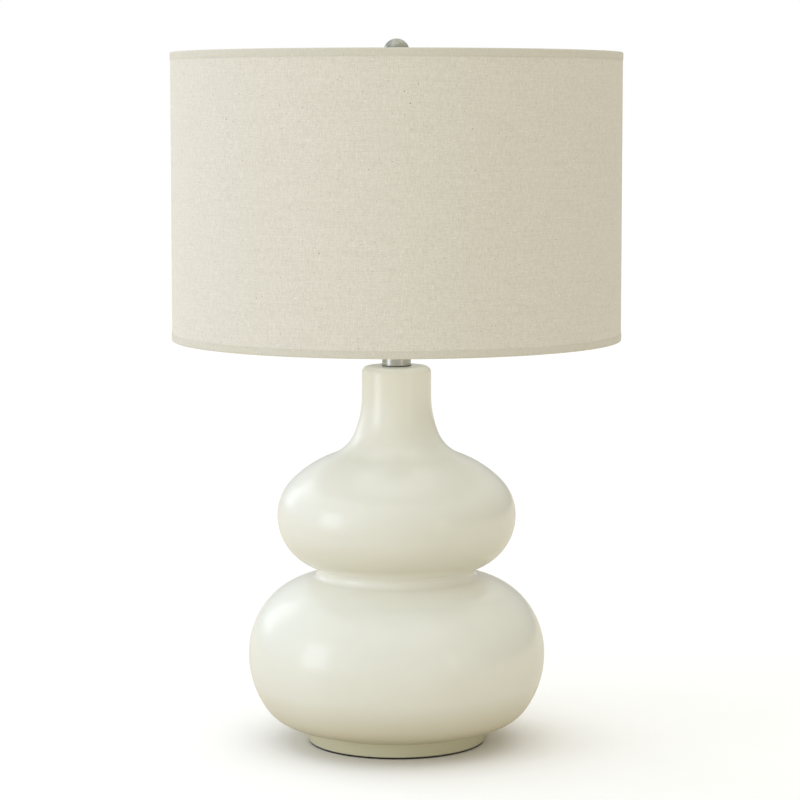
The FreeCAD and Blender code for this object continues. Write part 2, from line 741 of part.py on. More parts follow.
pad(nut, hexagon, nut_height)
nut_hole = new_sketch(nut, "nut_hole", "XY_Plane", nut_z)
circle(nut_hole, 0, 0, rod_clear)
pocket(nut, nut_hole, nut_height, reverse=True)
seat_z = neck_top + seat_thick
turned("neck_seat", [
    (rod_clear, neck_top), (seat_radius, neck_top), (seat_radius, seat_z), (rod_clear, seat_z),
])
collar_inner = collar_radius - collar_wall
collar = turned("neck_collar", [
    (collar_inner, seat_z), (collar_flange, seat_z), (collar_flange, seat_z + collar_wall),
    (collar_radius, seat_z + collar_wall), (collar_radius, collar_z), (rod_clear, collar_z),
    (rod_clear, collar_z - collar_wall), (collar_inner, collar_z - collar_wall),
])
rounded(collar, collar_edge, ring_at(collar_radius, collar_z))
rounded(collar, collar_flange_edge, ring_at(collar_flange, seat_z + collar_wall))

# Harp saddle: a U of strip steel whose narrowed tips enter the harp's feet
saddle = new_body("harp_saddle")
strip_out = saddle_half + saddle_thick / 2
strip_in = saddle_half - saddle_thick / 2
strip = new_sketch(saddle, "strip", "XZ_Plane")
polygon(strip, [
    (-strip_out, collar_z), (strip_out, collar_z), (strip_out, tip_z), (strip_in, tip_z),
    (strip_in, saddle_z), (-strip_in, saddle_z), (-strip_in, tip_z), (-strip_out, tip_z),
])
pad(saddle, strip, saddle_width, symmetric=True)
rounded(saddle, saddle_bend, bend_at(strip_in, saddle_z))
rounded(saddle, saddle_bend + saddle_thick, bend_at(strip_out, collar_z))
for side, name in ((1, "narrow_back"), (-1, "narrow_front")):
    narrow = new_sketch(saddle, name, "YZ_Plane")
    near = side * (saddle_tab_width / 2)
    far = side * saddle_width
    above = tip_z + saddle_thick
    polygon(narrow, [(near, shoulder_z), (far, shoulder_z), (far, above), (near, above)])
    pocket(saddle, narrow, 3 * strip_out, symmetric=True)
saddle_hole = new_sketch(saddle, "hole", "XY_Plane", collar_z)
circle(saddle_hole, 0, 0, rod_clear)
pocket(saddle, saddle_hole, saddle_thick, reverse=True)

# Harp: one bent wire with a slotted foot at each end and a boss for the swivel
harp = new_body("harp_wire")
foot_top = harp_foot_z + harp_foot_length
wire_start = foot_top - harp_foot_grip
leg_top = harp_foot_z + harp_leg
route = new_sketch(harp, "route", "XZ_Plane")
bulge = harp_turn_out + harp_turn_up
x_leg = num(saddle_half)
x_side = x_leg + num(bulge - bulge * cosine(harp_turn_angle))
z_side = num(leg_top + bulge * sine(harp_turn_angle))
z_arch = num(harp_top_z - harp_top_arc)


def harp_half(side):
    """Half of the bent wire's line: up the leg, out and up the side, over to the middle."""
    def spot(across, up):
        return V(side * across, up, 0)

    def bow(middle, radius, start, end):
        if side < 0:
            start, end = 180 - end, 180 - start
        ring = Part.Circle(middle, V(0, 0, 1), radius)
        ends = math.radians(start), math.radians(end)
        return route.addGeometry(Part.ArcOfCircle(ring, *ends), False)

    def straight(start, end):
        return route.addGeometry(Part.LineSegment(start, end), False)

    r_out = num(harp_turn_out)
    r_up = num(harp_turn_up)
    r_top = num(harp_top_arc)
    angle = num(harp_turn_angle)
    leg = straight(spot(x_leg, num(wire_start)), spot(x_leg, num(leg_top)))
    out = bow(spot(x_leg + r_out, num(leg_top)), r_out, 180 - angle, 180)
    up = bow(spot(x_side - r_up, z_side), r_up, -angle, 0)
    rise = straight(spot(x_side, z_side), spot(x_side, z_arch))
    arch = bow(spot(x_side - r_top, z_arch), r_top, 0, 90)
    level = straight(spot(x_side - r_top, num(harp_top_z)), spot(0, num(harp_top_z)))
    # which end of each arc comes first depends on the side
    a, b = (1, 2) if side > 0 else (2, 1)
    links = [
        (leg, 2, out, b), (out, a, up, a), (up, b, rise, 1), (rise, 2, arch, a), (arch, b, level, 1),
    ]
    for link in links:
        route.addConstraint(Sketcher.Constraint("Tangent", *link))
    pin(route, leg, 1, side * saddle_half, wire_start)
    route.addConstraint(Sketcher.Constraint("Vertical", leg))
    driven(route, "DistanceY", leg, 2, leg_top)
    driven(route, "Radius", out, harp_turn_out)
    driven(route, "Radius", up, harp_turn_up)
    driven(route, "Radius", arch, harp_top_arc)
    driven(route, "Angle", out, harp_turn_angle)
    route.addConstraint(Sketcher.Constraint("Vertical", rise))
    route.addConstraint(Sketcher.Constraint("Horizontal", level))
    pin(route, level, 2, 0, harp_top_z)


harp_half(1)
harp_half(-1)
wire_end = new_sketch(harp, "wire_end", "XY_Plane", wire_start)
circle(wire_end, saddle_half, 0, harp_wire_radius)
doc.recompute()
pipe = harp.newObject("PartDesign::AdditivePipe", "harp_bent")
pipe.Profile = wire_end
pipe.Spine = (route, ["Edge%d" % (i + 1) for i in range(route.GeometryCount)])
doc.recompute()
feet = new_sketch(harp, "feet", "XY_Plane", harp_foot_z)
circle(feet, saddle_half, 0, harp_foot_radius)
circle(feet, -saddle_half, 0, harp_foot_radius)
harp.AllowCompound = True
pad(harp, feet, harp_foot_length)
boss_z = harp_top_z - harp_boss_height / 2
boss = new_sketch(harp, "boss", "XY_Plane", boss_z)
circle(boss, 0, 0, harp_boss_radius)
pad(harp, boss, harp_boss_height)
boss_hole = new_sketch(harp, "boss_hole", "XY_Plane", boss_z)
circle(boss_hole, 0, 0, stud_pin + turn_fit)
pocket(harp, boss_hole, harp_boss_height, reverse=True)
half_slot = harp_slot_width / 2
slot_top = harp_foot_z + harp_slot_depth
for side, name in ((1, "right_slot"), (-1, "left_slot")):
    slot = new_sketch(harp, name, "XZ_Plane")
    near = side * saddle_half - half_slot
    far = side * saddle_half + half_slot
    polygon(slot, [(near, harp_foot_z), (far, harp_foot_z), (far, slot_top), (near, slot_top)])
    pocket(harp, slot, 3 * harp_foot_radius, symmetric=True)
for side, node in ((-1, "left_ferrule"), (1, "right_ferrule")):
    ferrule = turned(node, [
        (ferrule_bore, 0), (ferrule_radius, 0),
        (ferrule_radius, ferrule_length), (ferrule_bore, ferrule_length),
    ])
    rounded(ferrule, ferrule_foot_edge, ring_at(ferrule_radius, 0))
    rounded(ferrule, ferrule_top_edge, ring_at(ferrule_radius, ferrule_length))
    placed(ferrule, side * saddle_half, 0, shoulder_z + rest_gap)

# Swivel stud riveted through the harp's boss, with the thread that takes the finial
stud_top = hub_seat + stud_length
head_top = boss_z - rest_gap
head_low = head_top - stud_head_thick
stud = turned("harp_stud", [
    (0, head_low), (stud_head, head_low), (stud_head, head_top), (stud_pin, head_top),
    (stud_pin, flange_z), (stud_flange, flange_z), (stud_flange, hub_seat),
    (stud_thread, hub_seat), (stud_thread, stud_top), (0, stud_top),
])
rounded(stud, stud_bevel, ring_at(stud_thread, stud_top), "Chamfer")
rounded(stud, stud_head_edge, ring_at(stud_head, head_low))

# Shade frame: a hub and three arms inside the top ring, and a plain bottom ring
hub_top = hub_z + hub_thick
hub = turned("spider_hub", [
    (hub_bore, hub_z), (hub_radius, hub_z), (hub_radius, hub_top), (hub_bore, hub_top),
])
rounded(hub, hub_edge, ring_at(hub_radius, hub_top))
ring_low_z = shade_bottom + hem_thick + ring_wire
for node, height in (("shade_top_ring", ring_top_z), ("shade_bottom_ring", ring_low_z)):
    ring = doc.addObject("Part::Torus", node)
    ring.Label = node
    ring.Radius1 = num(ring_radius)
    ring.Radius2 = num(ring_wire)
    bind(ring, "Radius1", ring_radius)
    bind(ring, "Radius2", ring_wire)
    placed(ring, 0, 0, height)
arms = new_body("spider_arms")
arms.AllowCompound = True
arm_z = hub_z + hub_thick / 2
arm_start = hub_radius / 2
arm_flat_end = ring_radius - arm_slope_run
arm_route = new_sketch(arms, "route", "YZ_Plane")
rise = math.atan2(num(arm_slope_rise), num(arm_slope_run))
bend = num(arm_bend)
bend_in = V(num(arm_flat_end), num(arm_z), 0)
bend_out = bend_in + V(bend * math.sin(rise), bend * (1 - math.cos(rise)), 0)
bend_ring = Part.Circle(bend_in + V(0, bend, 0), V(0, 0, 1), bend)
weld = V(num(ring_radius), num(ring_top_z), 0)
arm_route.addGeometry(Part.LineSegment(V(num(arm_start), num(arm_z), 0), bend_in), False)
arm_route.addGeometry(Part.ArcOfCircle(bend_ring, -math.pi / 2, rise - math.pi / 2), False)
arm_route.addGeometry(Part.LineSegment(bend_out, weld), False)
arm_route.addConstraint(Sketcher.Constraint("Tangent", 0, 2, 1, 1))
arm_route.addConstraint(Sketcher.Constraint("Tangent", 1, 2, 2, 1))
arm_route.addConstraint(Sketcher.Constraint("Horizontal", 0))
pin(arm_route, 0, 1, arm_start, arm_z)
pin(arm_route, 2, 2, ring_radius, ring_top_z)
driven(arm_route, "Radius", 1, arm_bend)
driven(arm_route, "DistanceX", 1, 1, arm_flat_end)
arm_end = new_sketch(arms, "arm_end", "XZ_Plane", -arm_start)
circle(arm_end, 0, arm_z, arm_wire)
doc.recompute()
arm = arms.newObject("PartDesign::AdditivePipe", "spider_arm")
arm.Profile = arm_end
arm.Spine = (arm_route, ["Edge1", "Edge2", "Edge3"])
doc.recompute()
# each arm ends on the ring's surface and on the hub's rim
arm_trim = new_sketch(arms, "arm_trim", "YZ_Plane")
circle(arm_trim, ring_radius, ring_top_z, ring_wire)
revolve(arms, arm_trim, "Groove")
past_ring = new_sketch(arms, "past_ring", "YZ_Plane")
beyond = ring_radius + 3 * ring_wire
under_ring = ring_top_z - 3 * ring_wire
over_ring = ring_top_z + 3 * ring_wire
polygon(past_ring, [
    (ring_radius, under_ring), (beyond, under_ring), (beyond, over_ring), (ring_radius, over_ring),
])
revolve(arms, past_ring, "Groove")
hub_trim = new_sketch(arms, "hub_trim", "XY_Plane", hub_z - hub_thick)
circle(hub_trim, 0, 0, hub_radius)
pocket(arms, hub_trim, 3 * hub_thick, reverse=True)
repeated(arms, None, (hub_trim, ["N_Axis"]), arm_count)

# Shade skin: a stiff liner, the linen bonded to it, and the linen hems at both rims
linen_out = shade_radius - hem_thick
liner_out = linen_out - linen_thick
liner_in = liner_out - liner_thick
skin_low = shade_bottom + hem_thick
skin_high = shade_top - hem_thick
turned("shade_liner", [
    (liner_in, skin_low), (liner_out, skin_low), (liner_out, skin_high), (liner_in, skin_high),
])
turned("shade_fabric", [
    (liner_out, skin_low), (linen_out, skin_low), (linen_out, skin_high), (liner_out, skin_high),
])
ring_in = ring_radius - ring_wire
hem_in = ring_in - hem_thick
turned("bottom_hem", [
    (shade_radius, shade_bottom + hem_height), (shade_radius, shade_bottom),
    (hem_in, shade_bottom), (hem_in, shade_bottom + hem_turn_in),
    (ring_in, shade_bottom + hem_turn_in), (ring_in, skin_low),
    (linen_out, skin_low), (linen_out, shade_bottom + hem_height),
])
top_hem = turned("top_hem", [
    (shade_radius, shade_top - hem_height), (shade_radius, shade_top),
    (hem_in, shade_top), (hem_in, shade_top - hem_turn_in),
    (ring_in, shade_top - hem_turn_in), (ring_in, skin_high),
    (linen_out, skin_high), (linen_out, shade_top - hem_height),
])
notch = new_sketch(top_hem, "notch", "XZ_Plane", -(hem_in - ring_wire))
half_notch = hem_notch / 2
notch_low = shade_top - hem_turn_in - hem_thick
polygon(notch, [
    (-half_notch, notch_low), (half_notch, notch_low),
    (half_notch, skin_high), (-half_notch, skin_high),
])
cut = pocket(top_hem, notch, hem_thick + 2 * ring_wire)
up_axis = [item for item in top_hem.Origin.OriginFeatures if item.Role == "Z_Axis"][0]
repeated(top_hem, cut, (up_axis, [""]), arm_count)

# Finial: a ball on a short neck, turning on its threaded insert
insert_bore = stud_thread + turn_fit
insert_top = finial_z + insert_height
turned("finial_insert", [
    (insert_bore, finial_z), (insert_radius, finial_z),
    (insert_radius, insert_top), (insert_bore, insert_top),
])
ball = doc.addObject("Part::Sphere", "finial_sphere")
ball.Radius = num(finial_radius)
bind(ball, "Radius", finial_radius)
placed(ball, 0, 0, finial_z + finial_stem)
ball_neck = cylinder("finial_stem", finial_neck, finial_stem, 0, finial_z)
bore_depth = insert_height + insert_room
ball_bore = cylinder("finial_bore", insert_radius + turn_fit, bore_depth, 0, finial_z)
ball_whole = doc.addObject("Part::Fuse", "finial_whole")
ball_whole.Base = ball
ball_whole.Tool = ball_neck
finial = doc.addObject("Part::Cut", "finial_ball")
finial.Base = ball_whole
finial.Tool = ball_bore
finial.Label = "finial_ball"

# Lamp holder on top of the saddle: cap and its set screw, shell, sleeve, moulded core
cap_step = saddle_z + cap_hub_height
cap_curve = cap_step + cap_cone
cap_inner = cap_radius - cap_wall
holder_cap = turned("socket_cap", [
    (rod_clear, saddle_z), (cap_hub, saddle_z), (cap_hub, cap_step), (cap_radius, cap_curve),
    (cap_radius, cap_high), (cap_inner, cap_high), (cap_inner, cap_curve + cap_wall / 2),
    (cap_hub - cap_wall, cap_step + cap_wall), (rod_clear, cap_step + cap_wall),
])
rounded(holder_cap, cap_cone_bend, ring_at(cap_radius, cap_curve))
rounded(holder_cap, cap_hub_bend, ring_at(cap_hub, cap_step))
screw_z = saddle_z + cap_hub_height / 2
screw_hole = new_sketch(holder_cap, "screw_hole", "XZ_Plane")
circle(screw_hole, 0, screw_z, set_screw_radius + thread_fit)
pocket(holder_cap, screw_hole)
shank = cap_hub - rod_radius
screw_end = shank + set_screw_head_thick
screw = turned("set_screw", [
    (0, 0), (set_screw_radius, 0), (set_screw_radius, shank),
    (set_screw_head, shank), (set_screw_head, screw_end), (0, screw_end),
])
screw_slot = new_sketch(screw, "screw_slot", "XY_Plane", screw_end)
slot_x = 2 * set_screw_head
slot_y = set_screw_slot / 2
polygon(screw_slot, [(-slot_x, -slot_y), (slot_x, -slot_y), (slot_x, slot_y), (-slot_x, slot_y)])
pocket(screw, screw_slot, set_screw_slot_depth)
placed(screw, 0, rod_radius + set_screw_gap, screw_z, to_back)
holder_in = holder_radius - holder_wall
bead = holder_radius + bead_rise
bead_low = cap_high + bead_gap
bead_high = bead_low + bead_ramp + bead_flat
shell = turned("socket_shell", [
    (holder_in, holder_low), (holder_radius, holder_low), (holder_radius, bead_low),
    (bead, bead_low + bead_ramp), (bead, bead_high), (holder_radius, bead_high + bead_ramp),
    (holder_radius, holder_top), (holder_in, holder_top),
])
sleeve_out = holder_in - sleeve_fit
sleeve_in = sleeve_out - sleeve_wall
sleeve_top = holder_top + sleeve_rise
sleeve = turned("socket_liner", [
    (sleeve_in, core_low), (sleeve_out, core_low), (sleeve_out, sleeve_top), (sleeve_in, sleeve_top),
])
for piece in (shell, sleeve):
    side_hole = new_sketch(piece, "side_hole", "XZ_Plane")
    circle(side_hole, 0, spindle_z, spindle_hole)
    pocket(piece, side_hole, reverse=True)
core = turned("socket_interior", [
    (0, core_low), (core_radius, core_low), (core_radius, core_top), (0, core_top),
])
rounded(core, core_edge, ring_at(core_radius, core_low))
shaft_hole = new_sketch(core, "shaft_hole", "XZ_Plane", spindle_start - spindle_gap)
circle(shaft_hole, 0, spindle_z, spindle_radius + turn_fit)
pocket(core, shaft_hole, reverse=True)
recess_x = core_radius - terminal_recess
recess_top = core_low + 2 * terminal_rise
for side, name in ((1, "right_recess"), (-1, "left_recess")):
    side_cut = new_sketch(core, name, "XZ_Plane")
    near = side * recess_x
    far = side * (core_radius + terminal_recess)
    polygon(side_cut, [(near, core_low), (far, core_low), (far, recess_top), (near, recess_top)])
    pocket(core, side_cut, terminal_recess_width, symmetric=True)
terminal_z = core_low + terminal_rise
screw_holes = new_sketch(core, "screw_holes", "YZ_Plane")
circle(screw_holes, 0, terminal_z, terminal_shank + thread_fit)
pocket(core, screw_holes, 2 * core_radius, symmetric=True)
binding = []
for side, name in ((1, "right"), (-1, "left")):
    spin = FreeCAD.Rotation(V(0, 1, 0), side * 90)
    head_x = side * recess_x
    shank_x = side * (recess_x - terminal_shank_length)
    head = cylinder(
        name + "_terminal_head", terminal_head, terminal_head_thick, head_x, terminal_z, spin
    )
    stem = cylinder(
        name + "_terminal_shank", terminal_shank, terminal_shank_length, shank_x, terminal_z, spin
    )
    binding += [head, stem]
terminals = doc.addObject("Part::MultiFuse", "terminal_screws")
terminals.Shapes = binding
terminals.Label = "terminal_screws"
cup_in = cup_radius - cup_wall
cup_top = core_top + cup_height
turned("screw_shell", [
    (cup_floor_hole, core_top), (cup_radius, core_top), (cup_radius, cup_top), (cup_in, cup_top),
    (cup_in, core_top + cup_wall), (cup_floor_hole, core_top + cup_wall),
])
contact = new_body("socket_contact")
tongue = new_sketch(contact, "tongue", "XZ_Plane")
tongue_z = core_top + tongue_rise
root = tongue_gap - cup_floor_hole
knee = root + tongue_foot
crest = knee + tongue_slope
inset = tongue_thick / 4
polygon(tongue, [
    (root, core_top), (knee, core_top), (crest, tongue_z), (crest + tongue_tip, tongue_z),
    (crest + tongue_tip, tongue_z + tongue_thick), (crest - inset, tongue_z + tongue_thick),
    (knee - inset, core_top + tongue_thick), (root, core_top + tongue_thick),
])
pad(contact, tongue, tongue_width, symmetric=True)

# Rotary switch: the spindle out of the holder's side, and its fluted knob
spindle = turned("switch_spindle", [
    (0, 0), (spindle_radius, 0), (spindle_radius, spindle_length), (0, spindle_length),
])
placed(spindle, 0, -spindle_start, spindle_z, to_front)
knob_in = knob_radius - knob_edge
knob = turned("switch_knob", [
    (spindle_radius, 0), (knob_in, 0), (knob_radius, knob_edge),
    (knob_radius, knob_length - knob_edge), (knob_in, knob_length), (0, knob_length),
    (0, knob_bore_depth), (spindle_radius, knob_bore_depth),
])
flute = new_sketch(knob, "flute", "XY_Plane")
circle(flute, knob_radius + flute_radius - flute_depth, 0, flute_radius)
grip = pocket(knob, flute, reverse=True)
repeated(knob, grip, (flute, ["N_Axis"]), knob_flutes)
knob_y = spindle_start + spindle_length - knob_bore_depth
placed(knob, 0, -knob_y, spindle_z, to_front)

# Bulb: tip contact, insulator, screw cap, housing and opal globe
tip_top = bulb_tip_z + bulb_tip_height
tip_face = bulb_tip_radius - 2 * bulb_tip_bevel
turned("bulb_contact", [
    (0, bulb_tip_z), (tip_face, bulb_tip_z), (bulb_tip_radius, bulb_tip_z + bulb_tip_bevel),
    (bulb_tip_radius, tip_top), (0, tip_top),
])
turned("bulb_insulator", [
    (0, glass_z), (bulb_tip_radius + insulator_edge, glass_z),
    (insulator_radius, cap_base), (0, cap_base),
])
bulb_cap_in = bulb_cap_radius - bulb_cap_wall
taper_top = cap_base + bulb_cap_taper
turned("bulb_cap", [
    (insulator_radius - bulb_cap_wall, cap_base), (insulator_radius, cap_base),
    (bulb_cap_radius, taper_top), (bulb_cap_radius, cap_rim), (bulb_cap_in, cap_rim),
    (bulb_cap_in, taper_top + bulb_cap_wall / 2),
    (insulator_radius - bulb_cap_wall, cap_base + bulb_cap_wall),
])
globe_in = globe_radius - globe_wall
joint_x = cosine(globe_joint)
joint_z = sine(globe_joint)
neck_z = cap_rim + housing_neck_rise
turned("bulb_housing", [
    (bulb_cap_in, cap_rim), (housing_neck, cap_rim), (housing_neck, neck_z),
    (globe_radius * joint_x, globe_mid_z - globe_radius * joint_z),
    (globe_in * joint_x, globe_mid_z - globe_in * joint_z),
    (housing_neck - housing_wall, neck_z + housing_wall / 3), (bulb_cap_in, cap_rim + housing_wall),
])
globe = new_body("bulb_globe")
dome = new_sketch(globe, "dome", "XZ_Plane")
middle = V(0, num(globe_mid_z), 0)
low = -math.radians(num(globe_joint))
for radius in (globe_radius, globe_in):
    rim = Part.Circle(middle, V(0, 0, 1), num(radius))
    edge = dome.addGeometry(Part.ArcOfCircle(rim, low, math.pi / 2), False)
    driven(dome, "Radius", edge, radius)
    pin(dome, edge, 3, 0, globe_mid_z)
    dome.addConstraint(Sketcher.Constraint("PointOnObject", edge, 2, -2))
    driven(dome, "DistanceY", edge, 1, globe_mid_z - radius * joint_z)
for end in (1, 2):
    line = dome.addGeometry(Part.LineSegment(dome.getPoint(0, end), dome.getPoint(1, end)), False)
    dome.addConstraint(Sketcher.Constraint("Coincident", line, 1, 0, end))
    dome.addConstraint(Sketcher.Constraint("Coincident", line, 2, 1, end))
revolve(globe, dome)

doc.recompute()

NODES = [
    "foot_pad", "gourd_body", "cord_grommet", "base_plate", "lock_washer", "base_nut",
    "threaded_rod", "neck_seat", "neck_collar", "harp_saddle", "harp_wire", "left_ferrule",
    "right_ferrule", "harp_stud", "spider_hub", "spider_arms", "shade_top_ring",
    "shade_bottom_ring", "shade_liner", "shade_fabric", "top_hem", "bottom_hem",
    "finial_insert", "finial_ball", "socket_cap", "set_screw", "socket_shell", "socket_liner",
    "socket_interior", "terminal_screws", "screw_shell", "socket_contact", "switch_spindle",
    "switch_knob", "bulb_contact", "bulb_insulator", "bulb_cap", "bulb_housing", "bulb_globe",
]
for item in doc.Objects:
    if "Invalid" in item.State or "Error" in item.State:
        raise RuntimeError(item.Name + " did not compute")
pieces = [doc.getObject(node) for node in NODES]
for piece in pieces:
    if piece.Shape.isNull() or not piece.Shape.isValid():
        raise RuntimeError(piece.Label + " has no sound shape")
os.makedirs("parts", exist_ok=True)
for piece in pieces:
    piece.Shape.exportStep("parts/%s.step" % piece.Label)
    print(piece.Label, len(piece.Shape.Solids), round(piece.Shape.Volume, 1))
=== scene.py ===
import math
import bmesh
import bpy
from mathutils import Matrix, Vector


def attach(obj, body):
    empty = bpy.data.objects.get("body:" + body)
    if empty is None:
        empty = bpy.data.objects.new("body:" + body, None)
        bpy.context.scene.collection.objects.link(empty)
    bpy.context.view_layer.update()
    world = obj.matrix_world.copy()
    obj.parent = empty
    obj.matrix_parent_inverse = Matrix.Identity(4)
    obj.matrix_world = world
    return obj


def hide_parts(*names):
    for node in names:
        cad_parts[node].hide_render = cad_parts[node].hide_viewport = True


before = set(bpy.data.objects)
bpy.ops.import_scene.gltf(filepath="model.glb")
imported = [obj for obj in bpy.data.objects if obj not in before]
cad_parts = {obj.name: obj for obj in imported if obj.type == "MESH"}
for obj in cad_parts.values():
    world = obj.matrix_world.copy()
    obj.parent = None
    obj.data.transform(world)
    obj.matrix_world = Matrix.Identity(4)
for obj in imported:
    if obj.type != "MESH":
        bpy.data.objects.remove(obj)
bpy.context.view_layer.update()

# ---- Camera -------------------------------------------------------------------------
# It stands in front of the lamp at the height of the shade and looks a little down. The
# shift brings the lamp back into the middle of the frame.
eye = Vector((0.0031, -2.3914, 0.5661))
look_down = math.radians(5.136)
lens_mm, film_mm = 120.98, 36
lens_shift = -0.06
far_end = 60


def placed(name, data):
    """A new object in the scene, from a mesh, a light or a camera."""
    thing = bpy.data.objects.new(name, data)
    bpy.context.scene.collection.objects.link(thing)
    return thing


camera_data = bpy.data.cameras.new("studio_camera")
camera_data.lens = lens_mm
camera_data.sensor_width = film_mm
camera_data.shift_y = lens_shift
camera_data.clip_end = far_end
camera = placed("studio_camera", camera_data)
camera.location = eye
camera.rotation_euler = (math.radians(90) - look_down, 0, 0)
bpy.context.scene.camera = camera

# ---- Studio: floor, sky and soft boxes ----------------------------------------------
# A matt white table in a white room that is lit from above and from its window side, at
# the left. Two soft boxes at the left give the glaze its two highlights, and a slim one
# at the front right gives the metal a second one.
table_reach = 40


def paint(red, green, blue):
    """A colour of the screen, 0 to 255, as the linear colour that shaders take."""
    tones = [tone / 255 for tone in (red, green, blue)]
    return [t / 12.92 if t <= 0.04045 else ((t + 0.055) / 1.055) ** 2.4 for t in tones] + [1]


def add(tree, kind, inputs=None, **settings):
    """Add a node to a tree, and set or link its inputs."""
    made = tree.nodes.new(kind)
    for name, value in settings.items():
        setattr(made, name, value)
    for name, value in (inputs or {}).items():
        if isinstance(value, bpy.types.NodeSocket):
            tree.links.new(value, made.inputs[name])
        else:
            made.inputs[name].default_value = value
    return made


def finish_of(name, **surface):
    """A new material with its shader: returns the material, its tree and the shader."""
    made = bpy.data.materials.new(name)
    made.use_nodes = True
    tree = made.node_tree
    tree.nodes.clear()
    values = {key.replace("_", " "): value for key, value in surface.items()}
    shader = add(tree, "ShaderNodeBsdfPrincipled", values)
    add(tree, "ShaderNodeOutputMaterial", {"Surface": shader.outputs["BSDF"]})
    return made, tree, shader


def feed(tree, shader, **patterns):
    """Link patterns to the inputs of a material's shader."""
    for name, pattern in patterns.items():
        tree.links.new(pattern, shader.inputs[name.replace("_", " ")])


def at_piece(tree, stretch=(1, 1, 1)):
    """The piece's own coordinates, stretched, for a pattern to sit on."""
    place = add(tree, "ShaderNodeTexCoord").outputs["Object"]
    return add(tree, "ShaderNodeMapping", {"Vector": place, "Scale": stretch}).outputs["Vector"]


def cloudy(tree, place, scale, detail=3, roughness=0.55):
    """Soft noise from 0 to 1."""
    inputs = {"Vector": place, "Scale": scale, "Detail": detail, "Roughness": roughness}
    return add(tree, "ShaderNodeTexNoise", inputs).outputs["Fac"]


def ranged(tree, value, low, high, to_low=0, to_high=1):
    """Map a value from one range to another, held at its ends."""
    inputs = {
        "Value": value, "From Min": low, "From Max": high, "To Min": to_low, "To Max": to_high,
    }
    return add(tree, "ShaderNodeMapRange", inputs).outputs["Result"]


def mixed(tree, share, first, second):
    """Mix two colours, which are the mix node's inputs 6 and 7."""
    inputs = {0: share, 6: first, 7: second}
    return add(tree, "ShaderNodeMix", inputs, data_type="RGBA").outputs[2]


def sums(tree, operation, first, second=0.0):
    """One step of arithmetic."""
    return add(tree, "ShaderNodeMath", {0: first, 1: second}, operation=operation).outputs[0]


def weighed(tree, parts):
    """Add up values, each times its own weight."""
    total = 0.0
    for value, weight in parts:
        total = sums(tree, "ADD", total, sums(tree, "MULTIPLY", value, weight))
    return total


def relief(tree, height, depth, strength, under=None):
    """Bump from a height of 0 to 1 that stands for so many metres."""
    inputs = {"Height": height, "Distance": depth, "Strength": strength}
    if under is not None:
        inputs["Normal"] = under
    return add(tree, "ShaderNodeBump", inputs).outputs["Normal"]


table, tree, shader = finish_of("studio_table", Roughness=1.0, Specular_IOR_Level=0.0)
grain = cloudy(tree, at_piece(tree), scale=14, detail=4)
# the light that it throws up is that of a warmer table than the one that is seen
straight = add(tree, "ShaderNodeLightPath").outputs["Is Camera Ray"]
pale = mixed(tree, grain, paint(252, 250, 248), paint(255, 253, 251))
feed(
    tree, shader,
    Base_Color=mixed(tree, straight, paint(228, 220, 205), pale),
    Normal=relief(tree, grain, depth=0.0004, strength=0.2),
)
sides = [(-1, -1), (1, -1), (1, 1), (-1, 1)]
corners = [(x * table_reach, y * table_reach, 0) for x, y in sides]
floor_mesh = bpy.data.meshes.new("studio_floor")
floor_mesh.from_pydata(corners, [], [(0, 1, 2, 3)])
floor_mesh.materials.append(table)
floor = placed("studio_floor", floor_mesh)

room = bpy.data.worlds.new("white_room")
room.use_nodes = True
sky = room.node_tree
sky.nodes.clear()
# the room is bright overhead, less so at the left and behind, and dim at the right; a band
# of light lies round the horizon in front and at the left
aim = add(sky, "ShaderNodeTexCoord").outputs["Generated"]
way = add(sky, "ShaderNodeSeparateXYZ", {0: aim}).outputs
left = sums(sky, "MAXIMUM", sums(sky, "MULTIPLY", way["X"], -1.0), 0.0)
right = sums(sky, "MAXIMUM", way["X"], 0.0)
front = sums(sky, "MAXIMUM", sums(sky, "MULTIPLY", way["Y"], -1.0), 0.0)
back = sums(sky, "MAXIMUM", way["Y"], 0.0)
over = sums(sky, "MAXIMUM", way["Z"], 0.0)
band = ranged(sky, sums(sky, "ABSOLUTE", way["Z"]), 0.0, 0.35, to_low=1.0, to_high=0.0)
front_band = sums(sky, "MULTIPLY", front, band)
left_band = sums(sky, "MULTIPLY", left, band)
glow = weighed(sky, [
    (over, 1.28), (left, 0.6), (right, 0.04), (front, 0.24), (back, 0.32),
    (front_band, 0.7), (left_band, 0.32),
])
window_side, far_side = paint(238, 246, 255), paint(255, 254, 246)
air = mixed(sky, ranged(sky, way["X"], -0.9, 0.5), window_side, far_side)
dim = add(sky, "ShaderNodeBackground", {"Color": air, "Strength": glow})
bright = add(sky, "ShaderNodeBackground", {"Color": paint(255, 255, 255), "Strength": 1.0})
seen = add(sky, "ShaderNodeLightPath").outputs["Is Camera Ray"]
whole = add(sky, "ShaderNodeMixShader", {0: seen, 1: dim.outputs[0], 2: bright.outputs[0]})
add(sky, "ShaderNodeOutputWorld", {"Surface": whole.outputs[0]})
bpy.context.scene.world = room


def soft_box(name, place, target, width, height, power, tint):
    """A rectangular soft box that faces a point of the lamp."""
    light = bpy.data.lights.new(name, "AREA")
    light.shape = "RECTANGLE"
    light.size, light.size_y = width, height
    light.energy = power
    light.color = tint
    box = placed(name, light)
    box.location = place
    box.rotation_euler = (Vector(target) - Vector(place)).to_track_quat("-Z", "Y").to_euler()


